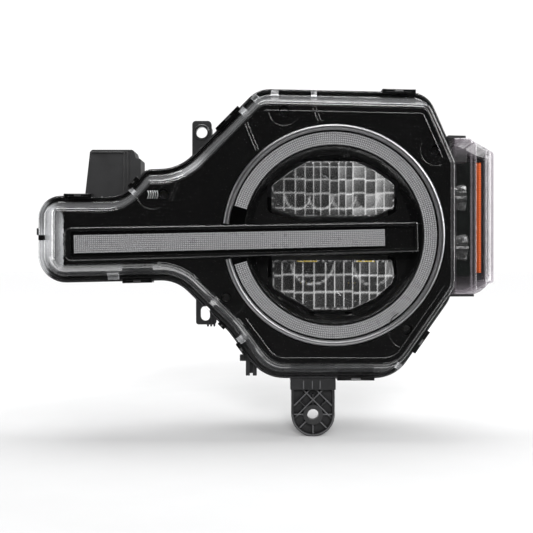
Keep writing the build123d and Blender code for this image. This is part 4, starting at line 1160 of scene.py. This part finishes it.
@dataclass
class SideMarker:
    """The wrap-round side marker: ribbed clear lens, amber prism strip and two clear half bells."""

    left: float = BODY_SIDE + 0.4
    right: float = BODY_SIDE + 52.0
    top: float = 104.0
    bottom: float = -62.5
    front: float = -18.0
    back: float = 50.0
    wall: float = 2.6
    rib_height: float = 1.6
    ribs: tuple[float, ...] = (147.2, 151.2, 163.1)
    corner: float = 3.0
    flank: float = 42.0
    sunk: float = 1.8
    step_x: float = 149.0
    step_depth: float = 2.2
    rib_limit: float = 165.0
    lips: tuple[tuple[float, float, float], ...] = ((104.3, 107.0, 142.5), (-65.1, -62.8, 151.5))
    bells: tuple[tuple[float, float], ...] = ((149.0, 43.0), (150.5, -12.0))
    bell_radii: tuple[float, ...] = (14.5, 12.9)
    bell_back: float = 30.0
    amber_split: float = 2.9
    amber_width: float = 5.4
    amber_start: float = 32.8
    amber_low: float = -40.0
    amber_high: float = 82.0
    amber_front: float = 26.0
    amber_back: float = 30.0
    # Painted light on the lens: lighter beyond these x and z.
    side_bright_from: float = 169.0
    top_bright_from: float = 86.0

    def plan(self, inset: float) -> Array:
        """The lens from above: up the inner side, along the sweeping front, back along the outer side."""
        share = np.linspace(0, 1, 61)
        left, right = self.left + inset, self.right - inset
        x = left + (right - left) * np.sin(share * math.pi / 2)
        sweep = (1 - np.cos(share * math.pi / 2)) ** 1.6
        y = self.front + inset + (self.flank - self.front - inset) * sweep
        lift = sum(self.rib_height * bump(x - rib, 1.3) for rib in self.ribs) if inset == 0 else 0.0
        step = self.step_depth * fade((x - self.step_x) * 2.5)
        y = y + self.sunk - lift * (x < self.rib_limit) + (step - self.step_depth) * 0.6
        inner_side = np.stack([np.full(5, left), np.linspace(self.back, y[0] + 1.0, 5)], 1)
        outer_side = np.stack([np.full(3, right), np.linspace(44.0, self.back, 3)], 1)
        return np.vstack([inner_side, np.stack([x, y], 1), outer_side])

    def height(self, x: Array, inset: float) -> tuple[Array, Array]:
        """Bottom and top of the lens at each x: level, then stepping in towards the outer side."""
        top = np.interp(x, [self.left, 145.0, 152.0, 169.0, 179.5, self.right],
                        [self.top, self.top, self.top - 5, self.top - 12, self.top - 13, self.top - 17])
        bottom = np.interp(x, [self.left, 150.0, 158.0, 168.0, 179.5, self.right],
                           [self.bottom, self.bottom, self.bottom + 3, self.bottom + 11, self.bottom + 12.5,
                            self.bottom + 16])
        return bottom + inset, top - inset

    def shell(self, inset: float) -> Array:
        """One skin of the lens: from the rear edge under it, up over the front, to the rear edge on top."""
        plan = self.plan(inset)
        x, y = plan[:, 0], plan[:, 1]
        bottom, top = self.height(x, inset)
        radius = self.corner

        def row(behind: float, z: Array) -> Array:
            """One row of the skin, behind the front by a step but no further back than the rear edge."""
            return np.stack([x, np.minimum(y + behind, self.back), z], -1)

        under, over = [row(math.inf, bottom), row(radius, bottom)], []
        for turn in np.linspace(0.2, 1, 5) * math.pi / 2:
            under.append(row(radius * (1 - math.sin(turn)), bottom + radius * (1 - math.cos(turn))))
        for turn in np.linspace(1, 0.2, 5) * math.pi / 2:
            over.append(row(radius * (1 - math.sin(turn)), top - radius * (1 - math.cos(turn))))
        span = top - bottom - 2 * radius
        face = [row(0.0, bottom + radius + span * share) for share in np.linspace(0.05, 0.95, 15)]
        return np.stack(under + face + over + [row(radius, top), row(math.inf, top)])

    def build(self, paints: Paints) -> None:
        """Builds the lens, the amber strip and the bells."""
        surface = Surface()
        skin = self.shell(0.0)
        x, z = skin[:, :, 0], skin[:, :, 2]
        bottom, _ = self.height(x, 0.0)
        # Painted light on the lens: lighter towards the outer side, along the bottom, towards the top on the
        # inner part and on each rib.
        tone = 0.45 * fade((self.side_bright_from - x) * 0.9) + 0.35 * bump(z - bottom, 16.0)
        above = z - self.top_bright_from
        tone = tone + 0.45 * fade((self.top_bright_from - z) * 0.7) * (x < 152.0) * (0.4 + above / 30.0)
        tone = tone + sum(0.5 * bump(x - rib, 1.6) for rib in self.ribs)
        surface.slab(skin, self.shell(self.wall), tone=np.clip(tone, 0, 1))
        surface.build("side_marker_cover", paints, "clear_polycarbonate", finish="marker_polycarbonate",
                      replaces=("side_marker_lens",), sharp=35)
        self.build_strips(paints)
        self.build_amber(paints)
        self.build_bells(paints)

    def build_strips(self, paints: Paints) -> None:
        """Builds the thin dark lips of the tray that show above and below the lens."""
        surface = Surface()
        for low, high, right in self.lips:
            x = np.linspace(self.left - 6.0, right, 9)[None, :]
            z = np.array([low, high])[:, None]
            surface.slab(joined(x, -12.0 + 0.15 * (x - self.left), z), joined(x, 52.0, z))
        surface.build("marker_tray_lips", paints, "housing_plastic", sharp=30)

    def build_amber(self, paints: Paints) -> None:
        """Builds the amber strip: a dark flat half and a paler half of cross prisms, whose colour is lifted
        by painted highlight.
        """
        surface = Surface()
        up = np.linspace(self.amber_low, self.amber_high, 123)[:, None]
        across = np.linspace(0, self.amber_width, 13)[None, :]
        x = BODY_SIDE + self.amber_start + across
        paler = across > self.amber_split
        wave = 0.5 * np.abs(((up / 2.0) % 1.0) * 2 - 1) * paler
        front = joined(x, self.amber_front + 0.5 - wave, up)
        surface.slab(front, joined(x, self.amber_back, up), tone=paler * 1.0)
        surface.build("amber_strip", paints, "amber_optic",
                      replaces=("marker_reflector",), sharp=20)

    def build_bells(self, paints: Paints) -> None:
        """Builds the two half bells: hollow domes, each crossed by a clear bar; the bar carries a painted
        highlight, the domes a faint one.
        """
        surface = Surface()
        turn = np.linspace(0, math.pi, 33)[None, :]
        rise = np.linspace(0, math.pi / 2, 13)[:, None]
        for x, z in self.bells:
            skins = []
            for radius in self.bell_radii:
                ring = radius * np.cos(rise)
                y = self.bell_back - ring * np.sin(turn) * 0.9 - 2.0
                skins.append(joined(x - radius * np.sin(rise) * 1.35, y, z + ring * np.cos(turn)))
            surface.slab(*skins, tone=0.08)
            bar_x = np.linspace(x - 19, x + 1, 12)[None, :]
            bar_z = np.array([-1.3, 1.3])[:, None]
            surface.plate(joined(bar_x, 17.0, z + bar_z), (0, 3.0, 0), tone=0.6)
        surface.build("marker_half_bells", paints, "clear_optics",
                      replaces=("marker_optics",), sharp=40)


# ---------------------------------------------------------------- bracket ribs and clip springs


@dataclass
class BracketRibs:
    """Rounded crowns on the lower bracket's ribs and rim, lifted bright by painted highlight."""

    eye_x: float = -20.3
    eye_z: float = -193.4
    eye: float = 9.5
    reach: float = 20.6
    rib_face: float = 3.5
    rim_face: float = 2.0
    foot_face: float = -0.3
    crown: float = 0.8
    rises: tuple[float, ...] = (16.0, 30.0)
    feet: tuple[float, ...] = (-10.4, -0.9, 7.6)
    width: float = 1.5
    rim_offset: float = 1.6

    def build(self, paints: Paints) -> None:
        """Builds the crowns: spokes round the eye, crossing diagonals, three short feet and the rim."""
        surface = Surface()
        eye = np.array([self.eye_x, self.eye_z])
        for angle in np.radians(np.arange(180, 361, 45)):
            way = np.array([math.cos(angle), math.sin(angle)])
            path = eye + way * np.linspace(self.eye, self.reach, 12)[:, None]
            ribbon(surface, path, self.rib_face, self.width, self.crown, tone=1.0)
        top = eye[1] + self.rises[1] - 4.0
        for rise in self.rises:
            for lean in (-1.0, 1.0):
                run = np.linspace(-self.reach, self.reach, 48)
                path = np.stack([eye[0] + run, eye[1] + rise + lean * run], 1)
                inside = (path[:, 1] < top) & (np.hypot(path[:, 0] - eye[0], path[:, 1] - eye[1]) > self.eye)
                inside &= path[:, 1] > eye[1] - 2.0
                if inside.sum() > 3:
                    ribbon(surface, path[inside], self.rib_face, self.width, self.crown, tone=1.0)
        for foot in self.feet:
            path = straight((eye[0] + foot, top + 2.0), (eye[0] + foot, top + 11.0))
            ribbon(surface, path, self.foot_face, 1.6, 0.5, tone=1.0)
        turn = np.linspace(-math.pi, 0, 40)[:, None]
        rim = eye + (self.reach + self.rim_offset) * np.hstack([np.cos(turn), np.sin(turn)])
        ribbon(surface, rim, self.rim_face, 1.4, 0.6, tone=0.8)
        surface.build("bracket_rib_crowns", paints, "bracket_plastic")


@dataclass
class BlockRidges:
    """The pair of upright ridges down the face of the corner block and the bead along its top."""

    face: float = 12.6
    uprights: tuple[float, ...] = (-226.4, -223.0)
    bottom: float = 48.0
    top: float = 93.0

    def build(self, paints: Paints) -> None:
        """Builds the ridges as one piece."""
        surface = Surface()
        for x in self.uprights:
            ribbon(surface, straight((x, self.bottom), (x, self.top)), self.face, 1.4, 1.0)
        left, right = min(self.uprights) - 36.0, max(self.uprights)
        ribbon(surface, straight((left, self.top - 1.0), (right, self.top - 1.0)), self.face, 1.4, 0.8)
        surface.build("corner_block_ridges", paints, "grey_plastic")


@dataclass
class PegWeb:
    """The thin web moulded between the two prongs of the locating peg."""

    prong_reach: float = 6.0
    half: float = 1.9
    front: float = 3.0
    back: float = 9.0

    def build(self, paints: Paints) -> None:
        """Builds the web from the peg's own box."""
        low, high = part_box("locating_peg")
        low, high = np.array(low) / MM - HOME, np.array(high) / MM - HOME
        middle = high[0] - self.prong_reach
        x = np.array([middle - self.half, middle, middle + self.half])[None, :]
        z = np.array([low[2] + 2.5, low[2] + 22.0])[:, None]
        ridge = self.front - 0.8 * (x == middle)
        surface = Surface()
        surface.plate(joined(x, low[1] + ridge, z), (0, self.back - self.front, 0))
        surface.build("locating_peg_web", paints, "housing_plastic", sharp=20)


@dataclass
class ConeSlots:
    """The two small bright slots in the black cone, above and below the beams."""

    places: tuple[tuple[float, float], ...] = ((19.0, 88.8), (19.0, -86.5))
    half: float = 5.0
    depth: float = -10.5

    def build(self, paints: Paints) -> None:
        """Builds each slot's rounded lip."""
        surface = Surface()
        for x, z in self.places:
            for lift in (-1.2, 1.2):
                path = straight((x - self.half, z + lift), (x + self.half, z + lift * 0.6))
                ribbon(surface, path, self.depth, 1.0, 1.2, sink=6.0)
        surface.build("cone_slot_lips", paints, "gloss_black")


@dataclass
class ClipSprings:
    """The spring tongue, made bright by painted highlight, and pressed ribs on the face of each lens clip."""

    face: float = -5.6
    long_share: float = 0.38
    short_share: float = 0.13
    clips: tuple[tuple[int, float, float], ...] = (
        (4, 0.62, 34), (2, 0.50, 14), (1, 0.48, 30), (12, 0.28, 32), (5, 0.83, 36), (8, 0.55, 28),
        (9, 0.30, 40), (11, 0.12, 9), (10, 0.62, 16))

    def build(self, paints: Paints) -> None:
        """Builds the tongues and ribs of every clip as one piece."""
        surface = Surface()
        for side, share, length in self.clips:
            middle, along, inward = FLANGE.spot(side, share)
            rib, tongue = self.long_share * length, self.short_share * length
            # The tongue carries tone 1, a painted highlight; the ribs carry none.
            beads = ((-1.2, rib, 1.3, 0.0), (1.1, rib, 1.3, 0.0), (0.0, tongue, 2.6, 1.0))
            for shift, half, width, tone in beads:
                line = middle - inward * shift
                ribbon(surface, straight(line - along * half, line + along * half), self.face, width, 0.6,
                       tone=tone)
        surface.build("clip_spring_tongues", paints, "spring_steel")


# ---------------------------------------------------------------- parts that keep their CAD shape


@dataclass
class KeptParts:
    """CAD nodes that keep their shape: a finish and softly rounded edges."""

    edges: dict[str, float] = field(default_factory=lambda: {
        "bezel": 0.7, "inner_cone": 0.5, "housing": 0.6, "lower_bracket": 0.5, "corner_block": 0.8,
        "marker_cap": 0.8, "lens_clips": 0.3, "service_cover": 0.6, "levelling_motor": 1.0,
        "led_driver": 0.8})
    usual: float = 0.3

    def build(self, paints: Paints) -> None:
        """Paints and rounds every CAD node that is still shown."""
        slots = {part["node"]: part["material_slot"] for part in frame["record"]["subparts"]}
        for name, node in frame["nodes"].items():
            material = paints[slots[name]]
            if node.material_slots:
                for place in node.material_slots:
                    place.material = material
            else:
                node.data.materials.append(material)
            if node.hide_render:
                continue
            weld = node.modifiers.new("weld", "WELD")
            weld.merge_threshold = 0.002 * MM
            bevel = node.modifiers.new("edges", "BEVEL")
            bevel.width = self.edges.get(name, self.usual) * MM
            bevel.segments = 2
            bevel.limit_method = "ANGLE"
            bevel.angle_limit = math.radians(35)
            bevel.use_clamp_overlap = True


# ---------------------------------------------------------------- studio


@dataclass(frozen=True)
class Panel:
    """A soft light: where it is, what it faces, its two sizes in metres and its power."""

    name: str
    place: tuple[float, float, float]
    target: tuple[float, float, float]
    wide: float
    tall: float
    power: float

    def build(self) -> None:
        """Hangs the light, unseen by the camera itself."""
        data = bpy.data.lights.new(self.name, "AREA")
        data.shape = "RECTANGLE"
        data.size, data.size_y, data.energy = self.wide, self.tall, self.power
        lamp = in_scene(self.name, data)
        lamp.location = self.place
        lamp.rotation_euler = (Vector(self.target) - Vector(self.place)).to_track_quat("-Z", "Y").to_euler()
        lamp.visible_camera = False


@dataclass
class Studio:
    """White surroundings, a pale floor, soft panels and the camera."""

    panels: tuple[Panel, ...] = (
        Panel("key", (-0.05, -1.2, 1.9), (-0.05, 0.0, 0.1), 1.0, 0.7, 8.0),
        Panel("left", (-1.2, 0.2, 0.4), (-0.05, 0.1, 0.15), 0.8, 0.9, 8.0),
        Panel("right", (1.0, 0.2, 0.5), (0.0, 0.1, 0.15), 0.8, 0.9, 9.0),
        Panel("right_front", (0.8, -0.6, 0.9), (0.0, 0.0, 0.2), 0.5, 0.5, 6.0),
        Panel("top", (0.0, 0.25, 1.3), (0.0, 0.1, 0.15), 1.4, 0.8, 20.0),
    )
    seen: float = 1.05
    diffuse: float = 0.62
    sun: float = 4.5
    glossy_front: float = 0.015
    glossy_side: float = 0.7
    camera_place: tuple[float, float, float] = (-0.0504, -1.014, 0.1604)
    focal: float = 62.5
    sensor: float = 36.0
    floor_reach: float = 30.0
    paper_near: float = 0.41
    paper_far: float = 0.92
    paper_from: float = 0.4
    paper_to: float = 1.9
    sun_width: float = 14.0
    sun_rise: float = 19.0

    def build(self) -> None:
        """Builds the studio."""
        bpy.context.scene.view_settings.view_transform = "Standard"
        self.build_world()
        self.build_floor()
        self.build_sun()
        for panel in self.panels:
            panel.build()
        data = bpy.data.cameras.new("camera")
        data.lens, data.sensor_width = self.focal, self.sensor
        camera = in_scene("camera", data)
        camera.location = self.camera_place
        camera.rotation_euler = (math.pi / 2, 0, 0)
        bpy.context.scene.camera = camera

    def build_world(self) -> None:
        """White where the camera sees it, softer as light.

        Reflections see a dark patch in front of the lamp, so that black gloss stays black, and paler
        surroundings to the sides, brighter to the right than to the left.
        """
        nodes = Nodes("studio", bpy.data.worlds.new("studio"))
        bpy.context.scene.world = nodes.material
        path = nodes.tree.nodes.new("ShaderNodeLightPath")
        place = nodes.tree.nodes.new("ShaderNodeTexCoord")
        axes = nodes.add("ShaderNodeSeparateXYZ", Vector=place.outputs["Generated"])
        around = nodes.spread(axes.outputs["Y"], -0.82, -0.35, self.glossy_front, self.glossy_side)
        lean = nodes.spread(axes.outputs["X"], -0.5, 0.8, 0.4, 1.0)
        gloss = nodes.sum("MULTIPLY", around, lean)
        light = nodes.mix(path.outputs["Is Glossy Ray"], self.diffuse, gloss)
        strength = nodes.mix(path.outputs["Is Camera Ray"], light, self.seen)
        sky = nodes.add("ShaderNodeBackground", Color=(1, 1, 1, 1), Strength=strength)
        nodes.close(sky.outputs[0])

    def build_floor(self) -> None:
        """A wide pale floor under the lamp's lowest point."""
        mesh = bpy.data.meshes.new("floor")
        reach = self.floor_reach
        corners = [(-reach, -reach, 0), (reach, -reach, 0), (reach, reach, 0), (-reach, reach, 0)]
        mesh.from_pydata(corners, [], [(0, 1, 2, 3)])
        floor = in_scene("floor", mesh)
        floor.location.z = CAD_BOX[0].z
        mesh.materials.append(self.floor_paper())

    def floor_paper(self) -> bpy.types.Material:
        """Pale matt paper: whiter far away, where less light falls, and dim in reflections ahead."""
        nodes = Nodes("floor_paper")
        path = nodes.tree.nodes.new("ShaderNodeLightPath")
        place = nodes.tree.nodes.new("ShaderNodeTexCoord")
        axes = nodes.add("ShaderNodeSeparateXYZ", Vector=place.outputs["Object"])
        ahead = nodes.spread(axes.outputs["Y"], -0.35, -0.1, 0.02, 1.0)
        level = nodes.mix(path.outputs["Is Glossy Ray"], 1.0, ahead)
        paper = nodes.spread(nodes.noise(40.0, 3.0), 0.3, 0.7, 0.985, 1.0)
        reach = nodes.add("ShaderNodeVectorMath", Vector=place.outputs["Object"])
        reach.operation = "LENGTH"
        distance = nodes.spread(reach.outputs["Value"], self.paper_from, self.paper_to, self.paper_near,
                                self.paper_far)
        shade = nodes.sum("MULTIPLY", nodes.sum("MULTIPLY", level, paper), distance)
        colour = nodes.tinted((1.0, 1.0, 1.005), shade)
        return nodes.close(nodes.add("ShaderNodeBsdfDiffuse", Color=colour).outputs[0])

    def build_sun(self) -> None:
        """A low soft light from the front that lays the wide shadow behind the lamp."""
        data = bpy.data.lights.new("low_front", "SUN")
        data.energy, data.angle = self.sun, math.radians(self.sun_width)
        lamp = in_scene("low_front", data)
        rise = math.radians(self.sun_rise)
        way = Vector((0.0, math.cos(rise), -math.sin(rise)))
        lamp.rotation_euler = way.to_track_quat("-Z", "Y").to_euler()
        lamp.visible_glossy = False


# ---------------------------------------------------------------- the whole lamp


class Headlight:
    """The whole lamp, sub-assembly by sub-assembly."""

    def __init__(self) -> None:
        """Lists the sub-assemblies with their sizes."""
        self.paints = Paints()
        self.parts = [
            OuterLens(),
            BezelTrim(),
            ScrewHeads(),
            TrimRing(),
            HaloGuide(),
            BarTray(),
            BarGuide(),
            BeamLens("low_beam", LOW_BEAM, rows=(29.0, 45.0, 60.0, 74.0), bright_side=0.75,
                     arcs=((-37, 42, 13), (-12, 42, 13), (13, 42, 13), (38, 42, 13))),
            BeamLens("high_beam", HIGH_BEAM, rows=(-60.5, -42.0), bright_side=0.3, lines=0.7, seed=8,
                     arcs=((-21, -29, 23), (44, -33, 20))),
            BeamReflector("low_beam", LOW_BEAM,
                          bowls=((-44, 48, 19), (-14, 48, 19), (15, 48, 19), (44, 48, 19))),
            BeamReflector("high_beam", HIGH_BEAM, bowls=((-27, -46, 25), (27, -46, 25)),
                          emitters=((-37, -16), (26, 46))),
            SideMarker(),
            BracketRibs(),
            BlockRidges(),
            PegWeb(),
            ConeSlots(),
            ClipSprings(),
            KeptParts(),
        ]

    def build(self) -> None:
        """Builds every sub-assembly."""
        for part in self.parts:
            part.build(self.paints)


def main() -> None:
    """Builds the lamp and its studio."""
    logging.basicConfig(level=logging.INFO, format="%(name)s: %(message)s")
    Headlight().build()
    Studio().build()


if __name__ == "__main__":
    main()
